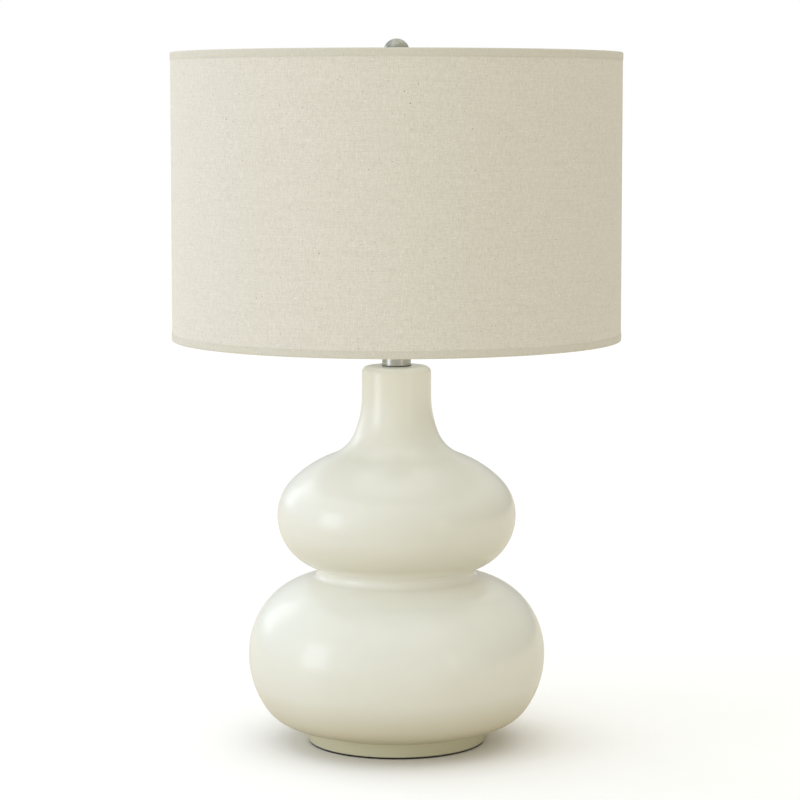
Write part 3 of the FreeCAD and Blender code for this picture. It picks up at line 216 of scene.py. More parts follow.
soft_box(
    "left_box", place=(-1.8, -0.85, 0.5), target=(0, 0, 0.3),
    width=0.75, height=1.0, power=5.7, tint=(0.8, 0.86, 1.0),
)
soft_box(
    "back_left_box", place=(-1.6, 1.4, 1.0), target=(0, 0, 0.3),
    width=0.8, height=1.2, power=3.2, tint=(0.92, 0.96, 1.0),
)
soft_box(
    "front_right_box", place=(1.6, -1.75, 0.5), target=(0, 0, 0.35),
    width=0.16, height=0.9, power=1.2, tint=(1.0, 0.95, 0.86),
)
bpy.context.scene.view_settings.view_transform = "Standard"

# ---- Foot pad -----------------------------------------------------------------------
# A ring of thin black felt, glued under the foot. Its cut edge shows as a dark line
# between the table and the glaze.


def dressed(node, material):
    """Give a carried-over CAD node its finish."""
    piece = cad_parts[node]
    piece.data.materials.clear()
    piece.data.materials.append(material)


felt, tree, shader = finish_of("felt_black", Roughness=1.0, Sheen_Weight=0.35, Sheen_Roughness=0.6)
fibres = cloudy(tree, at_piece(tree), scale=2600, detail=5, roughness=0.7)
tufts = cloudy(tree, at_piece(tree), scale=420)
feed(
    tree, shader,
    Base_Color=mixed(tree, ranged(tree, tufts, 0.35, 0.7), paint(20, 20, 19), paint(44, 43, 40)),
    Normal=relief(tree, fibres, depth=0.0004, strength=0.8),
)
dressed("foot_pad", felt)

# ---- Ceramic body -------------------------------------------------------------------
# Two gourds and a neck, slip cast in one piece with an even wall and a foot ring. The glaze
# is a warm ivory. Painted light whitens it on the neck and in the waist, and painted shade
# darkens and browns it under both gourds.
pad_thick = 0.0015
foot_radius, foot_height = 0.08, 0.0131
foot_ring = 0.009
sole_round, foot_round = 0.0012, 0.001
wall = 0.0055
floor_under, floor_top = 0.013, 0.0185
floor_round, floor_gap = 0.004, 0.0005
rod_hole = 0.008
lower_z, lower_radius = 0.079919, 0.1331
upper_z, upper_radius = 0.204962, 0.107
neck_radius, neck_arc_z, neck_top = 0.031, 0.313262, 0.339003
lip_round, lip_thick = 0.006, 0.007
# the radii of the arcs of its outline, from the foot up
under_arc, belly_arc, rise_arc, crown_arc, waist_arc = 0.0364, 0.0827, 0.0736, 0.066, 0.005
root_arc, cup_arc, cheek_arc, slope_arc = 0.0504, 0.049, 0.044, 0.098
throat_arc, bow_arc = 0.0356, 0.0932
# the directions, in degrees, in which one arc passes into the next
foot_turn, belly_turn, crown_turn, cup_turn, slope_turn = -74.6, -35.4, 30.2, -55.9, 44.6
# how far apart the points of the outline are
point_step, waist_step, lip_step = 0.0026, 0.0005, 0.0007


def on_arc(middle, radius, degrees):
    """The point of a circle in one direction from its middle."""
    turn = math.radians(degrees)
    return (middle[0] + radius * math.cos(turn), middle[1] + radius * math.sin(turn))


def bearing(middle, other):
    """The direction from one point to another, from 0 to 360 degrees."""
    return math.degrees(math.atan2(other[1] - middle[1], other[0] - middle[0])) % 360


def touching(first, reach_first, second, reach_second, side):
    """Where two circles meet, on the outer side (1) or the inner side (-1)."""
    gap = math.dist(first, second)
    along = (reach_first ** 2 - reach_second ** 2 + gap ** 2) / (2 * gap)
    across = math.sqrt(reach_first ** 2 - along ** 2)
    east, north = (second[0] - first[0]) / gap, (second[1] - first[1]) / gap
    chord = (first[0] + along * east, first[1] + along * north)
    for sign in (1, -1):
        spot = (chord[0] - sign * across * north, chord[1] + sign * across * east)
        if (spot[0] - chord[0]) * side > 0:
            return spot


def run_of(middle, radius, start, end, spacing=point_step):
    """Points along one arc, both ends included."""
    count = max(3, round(abs(math.radians(end - start)) * radius / spacing))
    return [on_arc(middle, radius, start + (end - start) * i / count) for i in range(count + 1)]


def gourd_outline(inset):
    """The chain of arcs from the foot to the neck, moved in by the wall."""
    belly, rise = (lower_radius - belly_arc, lower_z), (lower_radius - rise_arc, lower_z)
    cup, cheek = (upper_radius - cup_arc, upper_z), (upper_radius - cheek_arc, upper_z)
    bow = (neck_radius + bow_arc, neck_arc_z)
    under = on_arc(belly, belly_arc - under_arc, belly_turn)
    crown = on_arc(rise, rise_arc - crown_arc, crown_turn)
    root = on_arc(cup, cup_arc - root_arc, cup_turn)
    slope = on_arc(cheek, cheek_arc - slope_arc, slope_turn)
    waist = touching(crown, crown_arc + waist_arc, root, root_arc + waist_arc, 1)
    throat = touching(bow, bow_arc - throat_arc, slope, slope_arc + throat_arc, -1)
    swing = bearing(bow, throat)
    runs = [
        run_of(under, under_arc - inset, foot_turn, belly_turn),
        run_of(belly, belly_arc - inset, belly_turn, 0),
        run_of(rise, rise_arc - inset, 0, crown_turn),
        run_of(crown, crown_arc - inset, crown_turn, bearing(crown, waist)),
        run_of(waist, waist_arc + inset, bearing(waist, crown), bearing(waist, root), waist_step),
        run_of(root, root_arc - inset, bearing(root, waist) - 360, cup_turn),
        run_of(cup, cup_arc - inset, cup_turn, 0),
        run_of(cheek, cheek_arc - inset, 0, slope_turn),
        run_of(slope, slope_arc - inset, slope_turn, bearing(slope, throat)),
        run_of(throat, throat_arc + inset, bearing(throat, slope), swing),
        run_of(bow, bow_arc + inset, swing, 180),
    ]
    chain = [runs[0][0]]
    for run in runs:
        chain += run[1:]
    return chain


def turning_tree():
    """Turns an outline, drawn in the XZ plane, about the Z axis. A thread can be rolled
    into the stretch between Thread Low and Thread High."""
    weld = 2e-6
    tree = bpy.data.node_groups.new("turned_piece", "GeometryNodeTree")
    face = tree.interface
    face.new_socket("Outline", in_out="INPUT", socket_type="NodeSocketGeometry")
    face.new_socket("Steps", in_out="INPUT", socket_type="NodeSocketInt")
    face.new_socket("Closed", in_out="INPUT", socket_type="NodeSocketInt")
    for name in ("Thread Pitch", "Thread Depth", "Thread Low", "Thread High", "Thread Run Out"):
        face.new_socket(name, in_out="INPUT", socket_type="NodeSocketFloat")
    face.new_socket("Finish", in_out="INPUT", socket_type="NodeSocketMaterial")
    face.new_socket("Piece", in_out="OUTPUT", socket_type="NodeSocketGeometry")
    given = add(tree, "NodeGroupInput").outputs
    # a net with a row for each point of the outline and a column for each step of the turn
    size = add(tree, "GeometryNodeAttributeDomainSize", {0: given["Outline"]})
    count = size.outputs["Point Count"]
    columns = sums(tree, "ADD", given["Steps"], 1.0)
    rows = sums(tree, "ADD", count, given["Closed"])
    net = add(tree, "GeometryNodeMeshGrid", {"Vertices X": rows, "Vertices Y": columns})
    index = add(tree, "GeometryNodeInputIndex").outputs[0]
    row = sums(tree, "FLOOR", sums(tree, "DIVIDE", index, columns))
    column = sums(tree, "SUBTRACT", index, sums(tree, "MULTIPLY", row, columns))
    spot = add(
        tree, "GeometryNodeSampleIndex", data_type="FLOAT_VECTOR", domain="POINT",
        inputs={0: given["Outline"], "Index": sums(tree, "MODULO", row, count)},
    )
    tree.links.new(add(tree, "GeometryNodeInputPosition").outputs[0], spot.inputs["Value"])
    along = add(tree, "ShaderNodeSeparateXYZ", {0: spot.outputs["Value"]}).outputs
    share = sums(tree, "DIVIDE", column, given["Steps"])
    turn = sums(tree, "MULTIPLY", share, math.tau)
    # the thread rises by its pitch in each turn, and runs out softly at both ends
    phase = sums(tree, "SUBTRACT", sums(tree, "DIVIDE", along["Z"], given["Thread Pitch"]), share)
    wave = sums(tree, "COSINE", sums(tree, "MULTIPLY", phase, math.tau))
    from_low = sums(tree, "SUBTRACT", along["Z"], given["Thread Low"])
    to_high = sums(tree, "SUBTRACT", given["Thread High"], along["Z"])
    above = sums(tree, "DIVIDE", from_low, given["Thread Run Out"])
    below = sums(tree, "DIVIDE", to_high, given["Thread Run Out"])
    inside = sums(tree, "MINIMUM", sums(tree, "MINIMUM", above, below), 1.0)
    inside = sums(tree, "MAXIMUM", inside, 0.0)
    lift = sums(tree, "MULTIPLY", sums(tree, "MULTIPLY", wave, given["Thread Depth"]), inside)
    radius = sums(tree, "ADD", along["X"], lift)
    place = add(
        tree, "ShaderNodeCombineXYZ",
        {
            "X": sums(tree, "MULTIPLY", radius, sums(tree, "COSINE", turn)),
            "Y": sums(tree, "MULTIPLY", radius, sums(tree, "SINE", turn)),
            "Z": along["Z"],
        },
    ).outputs[0]
    shaped = add(tree, "GeometryNodeSetPosition", {0: net.outputs["Mesh"], "Position": place})
    whole = add(tree, "GeometryNodeMergeByDistance", {0: shaped.outputs[0], "Distance": weld})
    smooth = add(tree, "GeometryNodeSetShadeSmooth", {0: whole.outputs[0], "Shade Smooth": True})
    real = add(tree, "GeometryNodeRealizeInstances", {0: smooth.outputs[0]})
    last = add(tree, "GeometryNodeSetMaterial", {0: real.outputs[0], "Material": given["Finish"]})
    add(tree, "NodeGroupOutput", {0: last.outputs[0]})
    return tree


def set_input(modifier, name, value):
    """Set a modifier's named input by its socket's identifier."""
    for item in modifier.node_group.interface.items_tree:
        if item.item_type == "SOCKET" and item.in_out == "INPUT" and item.name == name:
            modifier[item.identifier] = value


def plain_piece(source, name, sharp):
    """Turn an object's evaluated result into a plain piece of its own."""
    view = bpy.context.evaluated_depsgraph_get()
    mesh = bpy.data.meshes.new_from_object(source.evaluated_get(view))
    mesh.name = name
    bpy.data.objects.remove(source)
    shape = bmesh.new()
    shape.from_mesh(mesh)
    bmesh.ops.recalc_face_normals(shape, faces=shape.faces)
    shape.to_mesh(mesh)
    shape.free()
    mesh.set_sharp_from_angle(angle=math.radians(sharp))
    return placed(name, mesh)


turning = turning_tree()


def turned(name, outline, material, steps, sharp, closed=True, **thread):
    """A turned piece from its outline in radius and height."""
    mesh = bpy.data.meshes.new(name + "_outline")
    edges = [(i, i + 1) for i in range(len(outline) - 1)]
    mesh.from_pydata([(r, 0, z) for r, z in outline], edges, [])
    source = placed(name + "_outline", mesh)
    modifier = source.modifiers.new("turned", "NODES")
    modifier.node_group = turning
    set_input(modifier, "Steps", steps)
    set_input(modifier, "Closed", 1 if closed else 0)
    values = {"Pitch": 1.0, "Depth": 0.0, "Low": 0.0, "High": 1.0, "Run_Out": 1.0} | thread
    for key, value in values.items():
        set_input(modifier, "Thread " + key.replace("_", " "), float(value))
    set_input(modifier, "Finish", material)
    return plain_piece(source, name, sharp)


def rounded_corner(spot, before, after, radius, steps=5):
    """Replace a corner of an outline by a small arc, as points."""
    here, back, on = (Vector(p) for p in (spot, before, after))
    first, second = (back - here).normalized(), (on - here).normalized()
    half = first.angle(second) / 2
    reach = radius / math.tan(half)
    middle = here + (first + second).normalized() * (radius / math.sin(half))
    start, end = here + first * reach - middle, here + second * reach - middle
    arms = [start.slerp(end, i / steps).normalized() for i in range(steps + 1)]
    return [tuple(middle + arm * radius) for arm in arms]


glaze, tree, shader = finish_of(
    "glazed_ceramic", Roughness=0.34, IOR=1.5, Coat_Weight=0.6, Coat_Roughness=0.17, Coat_IOR=1.5,
)
place = add(tree, "ShaderNodeTexCoord").outputs["Object"]
high = add(tree, "ShaderNodeSeparateXYZ", {0: place}).outputs["Z"]
clouds = cloudy(tree, at_piece(tree), scale=9, detail=4, roughness=0.5)
ivory = mixed(tree, ranged(tree, clouds, 0.3, 0.7), paint(224, 223, 210), paint(230, 229, 218))
# painted light whitens it on the neck and in the waist, and painted shade darkens and
# browns it under both gourds; the foot ring keeps a warmer ivory of its own; the ranges are of
# height
neck_light_share = ranged(tree, high, 0.2, 0.26, to_high=0.6)
waist_low = ranged(tree, high, 0.136, 0.15)
waist_high = ranged(tree, high, 0.158, 0.168, to_low=1, to_high=0)
waist_light_share = sums(tree, "MINIMUM", waist_low, waist_high)
# painted light: the neck and the waist are mixed towards a whiter ivory
glaze_with_painted_light = mixed(tree, sums(tree, "MAXIMUM", neck_light_share, waist_light_share), ivory, paint(243, 241, 230))
belly_shade_share = ranged(tree, high, 0.012, 0.058, to_low=0.72, to_high=0)
cup_low = ranged(tree, high, 0.16, 0.168, to_high=0.28)
cup_high = ranged(tree, high, 0.166, 0.194, to_low=0.28, to_high=0)
cup_shade_share = sums(tree, "MINIMUM", cup_low, cup_high)
# painted shade: the undersides of both gourds are mixed towards a darker brown
glaze_with_painted_shade = mixed(tree, sums(tree, "MAXIMUM", belly_shade_share, cup_shade_share), glaze_with_painted_light, paint(192, 182, 143))
foot_share = ranged(tree, high, 0.0125, 0.0145, to_low=1, to_high=0)
body = mixed(tree, foot_share, glaze_with_painted_shade, paint(221, 218, 188))
specks = cloudy(tree, at_piece(tree), scale=950, detail=2, roughness=0.6)
speck_share = ranged(tree, specks, 0.72, 0.82, to_high=0.12)
ripple = cloudy(tree, at_piece(tree), scale=26, roughness=0.5)
skin = cloudy(tree, at_piece(tree), scale=700, roughness=0.6)
orange_peel = relief(tree, skin, depth=0.00004, strength=0.35)
feed(
    tree, shader,
    Base_Color=mixed(tree, speck_share, body, paint(170, 156, 124)),
    Roughness=ranged(tree, clouds, 0.3, 0.7, to_low=0.3, to_high=0.38),
    Normal=relief(tree, ripple, depth=0.0004, strength=0.35, under=orange_peel),
)

outer = gourd_outline(0)
inner = [point for point in gourd_outline(wall) if point[1] > floor_top + floor_gap]
lip = run_of((neck_radius - lip_round, neck_top - lip_round), lip_round, 0, 90, lip_step)
inside_foot = foot_radius - foot_ring
sole_edge, foot_edge = (foot_radius, pad_thick), (foot_radius, foot_height)
sole = rounded_corner(sole_edge, (inside_foot, pad_thick), foot_edge, sole_round)
root_bend = rounded_corner(foot_edge, sole_edge, outer[0], foot_round)
lip_under = neck_top - lip_thick
section = (
    [(inside_foot, floor_under), (inside_foot, pad_thick)] + sole + root_bend + outer + lip
    + [(rod_hole, neck_top), (rod_hole, lip_under), (neck_radius - wall, lip_under)]
    + inner[::-1]
    + [(inner[0][0] - floor_round, floor_top), (rod_hole, floor_top), (rod_hole, floor_under)]
)
gourd = turned("gourd_body_glazed", section, glaze, steps=224, sharp=50)

# the cord's hole through the back of the foot, with a small flat around it
cord_z = 0.007
hole_radius, hole_start = 0.0035, 0.05
flat_radius, flat_start = 0.0052, 0.0797
drill_end = 0.09


def applied(piece, modifier, sharp=50):
    """Make a modifier's result the piece's own mesh."""
    view = bpy.context.evaluated_depsgraph_get()
    result = bpy.data.meshes.new_from_object(piece.evaluated_get(view))
    piece.modifiers.remove(modifier)
    piece.data = result
    piece.data.set_sharp_from_angle(angle=math.radians(sharp))


def bored(piece, radius, start, end):
    """Cut a round hole along Y through a piece."""
    cutter = bmesh.new()
    bmesh.ops.create_cone(
        cutter, cap_ends=True, segments=48, radius1=radius, radius2=radius, depth=end - start,
    )
    along_y = Vector((0, 1, 0)).to_track_quat("Z", "Y").to_matrix()
    bmesh.ops.rotate(cutter, verts=cutter.verts, matrix=along_y)
    bmesh.ops.translate(cutter, verts=cutter.verts, vec=(0, (start + end) / 2, cord_z))
    mesh = bpy.data.meshes.new("cord_drill")
    cutter.to_mesh(mesh)
    cutter.free()
    drill = placed("cord_drill", mesh)
    cut = piece.modifiers.new("bore", "BOOLEAN")
    cut.operation, cut.solver, cut.object = "DIFFERENCE", "EXACT", drill
    applied(piece, cut)
    bpy.data.objects.remove(drill)


bored(gourd, hole_radius, hole_start, drill_end)
bored(gourd, flat_radius, flat_start, drill_end)
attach(gourd, "base")
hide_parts("gourd_body")

# ---- Cord inlet ---------------------------------------------------------------------
# A bushing in the back of the foot, which keeps the cord off the glaze. It is moulded in
# black nylon and pressed in from outside.
nylon, tree, shader = finish_of("black_nylon", Roughness=0.45, Specular_IOR_Level=0.4)
grain = cloudy(tree, at_piece(tree), scale=900, detail=4)
feed(
    tree, shader,
    Base_Color=mixed(tree, grain, paint(24, 24, 25), paint(36, 36, 37)),
    Roughness=ranged(tree, grain, 0.3, 0.7, to_low=0.38, to_high=0.56),
    Normal=relief(tree, grain, depth=0.00008, strength=0.6),
)
dressed("cord_grommet", nylon)

# ---- Base plate, lock washer, nut and lamp pipe -------------------------------------
# Zinc-plated steel. The threaded pipe runs from the foot to the lamp holder, and the nut
# and lock washer under the base plate pull the whole stack together.
zinc, tree, shader = finish_of("zinc_steel", Metallic=1.0, Roughness=0.38)
spangle = cloudy(tree, at_piece(tree), scale=260, detail=4, roughness=0.6)
worn = cloudy(tree, at_piece(tree), scale=60)
tone = mixed(tree, ranged(tree, spangle, 0.3, 0.7), paint(176, 180, 183), paint(206, 208, 206))
worn_share = ranged(tree, worn, 0.58, 0.72, to_high=0.5)
feed(
    tree, shader,
    Base_Color=mixed(tree, worn_share, tone, paint(168, 158, 138)),
    Roughness=ranged(tree, spangle, 0.3, 0.7, to_low=0.3, to_high=0.48),
    Normal=relief(tree, spangle, depth=0.00006, strength=0.6),
)
for node in ("base_plate", "lock_washer", "base_nut"):
    dressed(node, zinc)

pipe_radius, pipe_bore = 0.00485, 0.00325
pipe_low, pipe_high = 0.004, 0.378
fine_pitch, pipe_depth = 0.00094, 0.00028


def plain_side(radius, low, high, rows):
    """Points up the side of a turned piece, close enough to roll a thread into it."""
    return [(radius, low + (high - low) * i / rows) for i in range(rows + 1)]


outline = [(pipe_bore, pipe_high), (pipe_bore, pipe_low)]
outline += plain_side(pipe_radius - pipe_depth, pipe_low, pipe_high, rows=1600)
pipe = turned(
    "lamp_pipe", outline, zinc, steps=20, sharp=80,
    Pitch=fine_pitch, Depth=pipe_depth, Low=pipe_low, High=pipe_high, Run_Out=0.001,
)
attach(pipe, "base")
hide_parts("threaded_rod")

# ---- Neck collar --------------------------------------------------------------------
# A short tube of steel, plated in nickel and brushed round, between the neck and the
# saddle of the harp. Its foot is a thin flange on a seat of the same felt as the pad.


def brushed(name, light, dark, roughness, stretch, bite=0.00002):
    """Plated metal with fine lines of the brush; stretch sets which way they run."""
    made, tree, shader = finish_of(name, Metallic=1.0, Anisotropic=0.5)
    lines = cloudy(tree, at_piece(tree, stretch), scale=1, detail=4, roughness=0.65)
    smears = cloudy(tree, at_piece(tree), scale=55)
    tone = mixed(tree, ranged(tree, lines, 0.3, 0.7), dark, light)
    smear_share = ranged(tree, smears, 0.55, 0.75, to_high=0.4)
    smooth, coarse = roughness - 0.06, roughness + 0.08
    feed(
        tree, shader,
        Base_Color=mixed(tree, smear_share, tone, dark),
        Roughness=ranged(tree, lines, 0.25, 0.75, to_low=smooth, to_high=coarse),
        Normal=relief(tree, lines, depth=bite, strength=0.7),
    )
    return made


nickel = brushed(
    "brushed_nickel", light=paint(196, 196, 190), dark=paint(150, 150, 144), roughness=0.25,
    stretch=(60, 60, 5200), bite=0.000006,
)
dressed("neck_collar", nickel)
dressed("neck_seat", felt)

# ---- Harp saddle, harp and ferrules -------------------------------------------------
# The saddle is stamped strip. The harp is one spring steel wire with a flattened foot at
# each end, held by two sliding ferrules. All are plated in bright nickel.
bright_nickel = brushed(
    "nickel_steel", light=paint(205, 203, 198), dark=paint(158, 156, 150), roughness=0.3,
    stretch=(700, 700, 700),
)
for node in ("harp_saddle", "harp_wire", "left_ferrule", "right_ferrule"):
    dressed(node, bright_nickel)

# ---- Lamp holder --------------------------------------------------------------------
# Cap and shell are thin nickel-plated brass, the cap held on the pipe by a small screw.
# Inside the shell sit a sleeve of grey paper board, the moulded interior, the screw shell
# with its rolled thread, and the contacts.
shell_nickel = brushed(
    "nickel_shell", light=paint(200, 197, 186), dark=paint(150, 146, 134), roughness=0.24,
    stretch=(90, 90, 2600),
)
for node in ("socket_cap", "socket_shell"):
    dressed(node, shell_nickel)
dressed("set_screw", zinc)

board, tree, shader = finish_of("holder_paper", Roughness=0.9)
upright = at_piece(tree, stretch=(900, 900, 240))
fibres = cloudy(tree, upright, scale=1, detail=5, roughness=0.7)
feed(
    tree, shader,
    Base_Color=mixed(tree, fibres, paint(92, 86, 76), paint(134, 127, 114)),
    Normal=relief(tree, fibres, depth=0.00008, strength=0.6),
)
dressed("socket_liner", board)

phenolic, tree, shader = finish_of("phenolic", Roughness=0.42)
flecks = cloudy(tree, at_piece(tree), scale=700, detail=4, roughness=0.65)
feed(
    tree, shader,
    Base_Color=mixed(tree, ranged(tree, flecks, 0.35, 0.7), paint(30, 26, 23), paint(58, 50, 44)),
    Roughness=ranged(tree, flecks, 0.3, 0.7, to_low=0.34, to_high=0.5),
    Normal=relief(tree, flecks, depth=0.00005, strength=0.5),
)
dressed("socket_interior", phenolic)

brass = brushed(
    "brass", light=paint(214, 178, 104), dark=paint(160, 124, 60), roughness=0.3,
    stretch=(400, 400, 900),
)
for node in ("terminal_screws", "socket_contact"):
    dressed(node, brass)

lamp_thread = {"Pitch": 0.003629, "Run_Out": 0.0012}
shell_low, shell_high = 0.4135, 0.4345
shell_radius, shell_inside = 0.01345, 0.01318
outline = plain_side(shell_radius, shell_low, shell_high, rows=84)
outline += plain_side(shell_inside, shell_low, shell_high, rows=84)[::-1]
screw_shell = turned(
    "screw_shell_threaded", outline, brass, steps=96, sharp=60,
    Depth=0.0002, Low=shell_low + 0.001, High=shell_high - 0.001, **lamp_thread,
)
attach(screw_shell, "base")
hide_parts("screw_shell")

# ---- Rotary switch ------------------------------------------------------------------
# A fluted knob of black moulded plastic, pushed on a spindle of nickel-plated steel that
# comes out through the holder's shell.
knob_plastic, tree, shader = finish_of("knob_plastic", Roughness=0.35)
grain = cloudy(tree, at_piece(tree), scale=800)
feed(
    tree, shader,
    Base_Color=mixed(tree, grain, paint(18, 17, 17), paint(30, 29, 28)),
    Roughness=ranged(tree, grain, 0.3, 0.7, to_low=0.3, to_high=0.44),
    Normal=relief(tree, grain, depth=0.00005, strength=0.5),
)
dressed("switch_knob", knob_plastic)
dressed("switch_spindle", bright_nickel)

# ---- Bulb ---------------------------------------------------------------------------
# A tin tip in black glass, a rolled aluminium screw cap, a white moulded housing and an
# opal globe. The cap's thread runs in the screw shell of the holder.
tin, tree, shader = finish_of("tin", Metallic=1.0, Roughness=0.35)
dents = cloudy(tree, at_piece(tree), scale=600, detail=4)
feed(
    tree, shader,
    Base_Color=mixed(tree, dents, paint(150, 150, 150), paint(200, 200, 198)),
    Normal=relief(tree, dents, depth=0.0001, strength=0.6),
)
dressed("bulb_contact", tin)

black_glass, tree, shader = finish_of("black_glass", Roughness=0.08)
swirl = cloudy(tree, at_piece(tree), scale=300)
feed(
    tree, shader,
    Base_Color=mixed(tree, swirl, paint(10, 10, 14), paint(24, 24, 30)),
    Normal=relief(tree, swirl, depth=0.00005, strength=0.4),
)
dressed("bulb_insulator", black_glass)

cap_metal = brushed(
    "bulb_alu", light=paint(205, 206, 206), dark=paint(165, 166, 167), roughness=0.34,
    stretch=(120, 120, 2400),
)
cap_low, cap_high = 0.4215, 0.4415
cap_radius, cap_inside = 0.01275, 0.0125
cap_eye, cap_nose, cap_knee, cap_inside_knee = 0.0096, 0.0116, 0.0124, 0.0121
cap_side = cap_low + 0.0008
outline = [(cap_eye, cap_low), (cap_nose, cap_low), (cap_knee, cap_low + 0.0002)]
outline += plain_side(cap_radius, cap_side, cap_high, rows=80)
outline += plain_side(cap_inside, cap_side, cap_high, rows=80)[::-1]
outline += [(cap_inside_knee, cap_low + 0.0006), (cap_eye, cap_low + 0.0003)]
bulb_cap = turned(
    "bulb_cap_threaded", outline, cap_metal, steps=96, sharp=60,
    Depth=0.00033, Low=cap_low + 0.0012, High=cap_high - 0.0025, **lamp_thread,
)
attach(bulb_cap, "bulb")
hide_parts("bulb_cap")

housing_white, tree, shader = finish_of("bulb_white", Roughness=0.38, Subsurface_Weight=0.05)
grain = cloudy(tree, at_piece(tree), scale=500, detail=4)
feed(
    tree, shader,
    Base_Color=mixed(tree, grain, paint(232, 232, 228), paint(242, 242, 239)),
    Normal=relief(tree, grain, depth=0.00004, strength=0.5),
)
dressed("bulb_housing", housing_white)

opal, tree, shader = finish_of(
    "opal_globe", Roughness=0.25, Subsurface_Weight=0.25, Subsurface_Radius=(0.01, 0.01, 0.01),
)
haze = cloudy(tree, at_piece(tree), scale=40)
feed(
    tree, shader,
    Base_Color=mixed(tree, haze, paint(238, 238, 234), paint(248, 248, 246)),
    Normal=relief(tree, haze, depth=0.00005, strength=0.3),
)
dressed("bulb_globe", opal)

# ---- Swivel stud and shade frame ----------------------------------------------------
# The stud turns in the harp's boss and carries the hub. Three arms of white-coated wire
# drop from the hub to the top ring, and a ring of the same wire stiffens the bottom rim.
stud_foot, flange_low, flange_high, stud_top = 0.592, 0.6002, 0.6022, 0.6136
head_radius, head_height, head_bevel = 0.0045, 0.0018, 0.0006
shank_radius = 0.0025
flange_radius, flange_bevel = 0.00635, 0.00025
screw_radius, tip_bevel = 0.00306, 0.0006
outline = [
    (0, stud_foot), (head_radius - head_bevel, stud_foot),
    (head_radius, stud_foot + head_bevel), (head_radius, stud_foot + head_height),
    (shank_radius, stud_foot + head_height), (shank_radius, flange_low),
    (flange_radius - flange_bevel, flange_low), (flange_radius, flange_low + flange_bevel),
    (flange_radius, flange_high - flange_bevel), (flange_radius - flange_bevel, flange_high),
    *plain_side(screw_radius, flange_high, stud_top - tip_bevel, rows=72),
    (shank_radius, stud_top), (0, stud_top),
]
stud = turned(
    "harp_stud_threaded", outline, bright_nickel, steps=64, sharp=50, closed=False,
    Pitch=fine_pitch, Depth=0.0001, Low=flange_high + 0.0012, High=stud_top - 0.0004,
    Run_Out=0.0006,
)
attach(stud, "swivel")
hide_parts("harp_stud")
dressed("spider_hub", bright_nickel)

coated, tree, shader = finish_of("white_wire", Roughness=0.42)
grain = cloudy(tree, at_piece(tree), scale=650, detail=4)
feed(
    tree, shader,
    Base_Color=mixed(tree, grain, paint(222, 221, 215), paint(238, 238, 233)),
    Normal=relief(tree, grain, depth=0.0001, strength=0.6),
)
for node in ("spider_arms", "shade_top_ring", "shade_bottom_ring"):
    dressed(node, coated)

# ---- Shade liner --------------------------------------------------------------------
# A stiff sheet of white plastic film that the linen is laminated to. It is glued round
# both rings and shows as the smooth inside of the shade.
film, tree, shader = finish_of("shade_liner", Roughness=0.55, Subsurface_Weight=0.1)
haze = cloudy(tree, at_piece(tree), scale=120, detail=4)
feed(
    tree, shader,
    Base_Color=mixed(tree, haze, paint(238, 236, 226), paint(247, 246, 239)),
    Normal=relief(tree, haze, depth=0.0002, strength=0.3),
)
dressed("shade_liner", film)

# ---- Linen and hems -----------------------------------------------------------------
# Natural linen, laminated to the liner in one strip with its ends lapped at the back. A
# narrow linen tape is glued over both rims and turned in round the rings.
shade_low, shade_high = 0.363, 0.617
liner_outer = 0.1992
yarn = 0.00062
cloth_thick, tape_thick = 0.0004, 0.0003
lap, lap_slope = 0.012, 0.004
# the linen stands off the liner and off its own lapped end, and stops short of the rims
liner_gap, lap_gap, rim_gap = 0.00003, 0.00002, 0.0003
seam_turn = math.radians(90)
arm_turns = [math.radians(turn) for turn in (90, 210, 330)]
# half of the room that a tape leaves for an arm, as a turn round the rim
arm_room = 0.0155


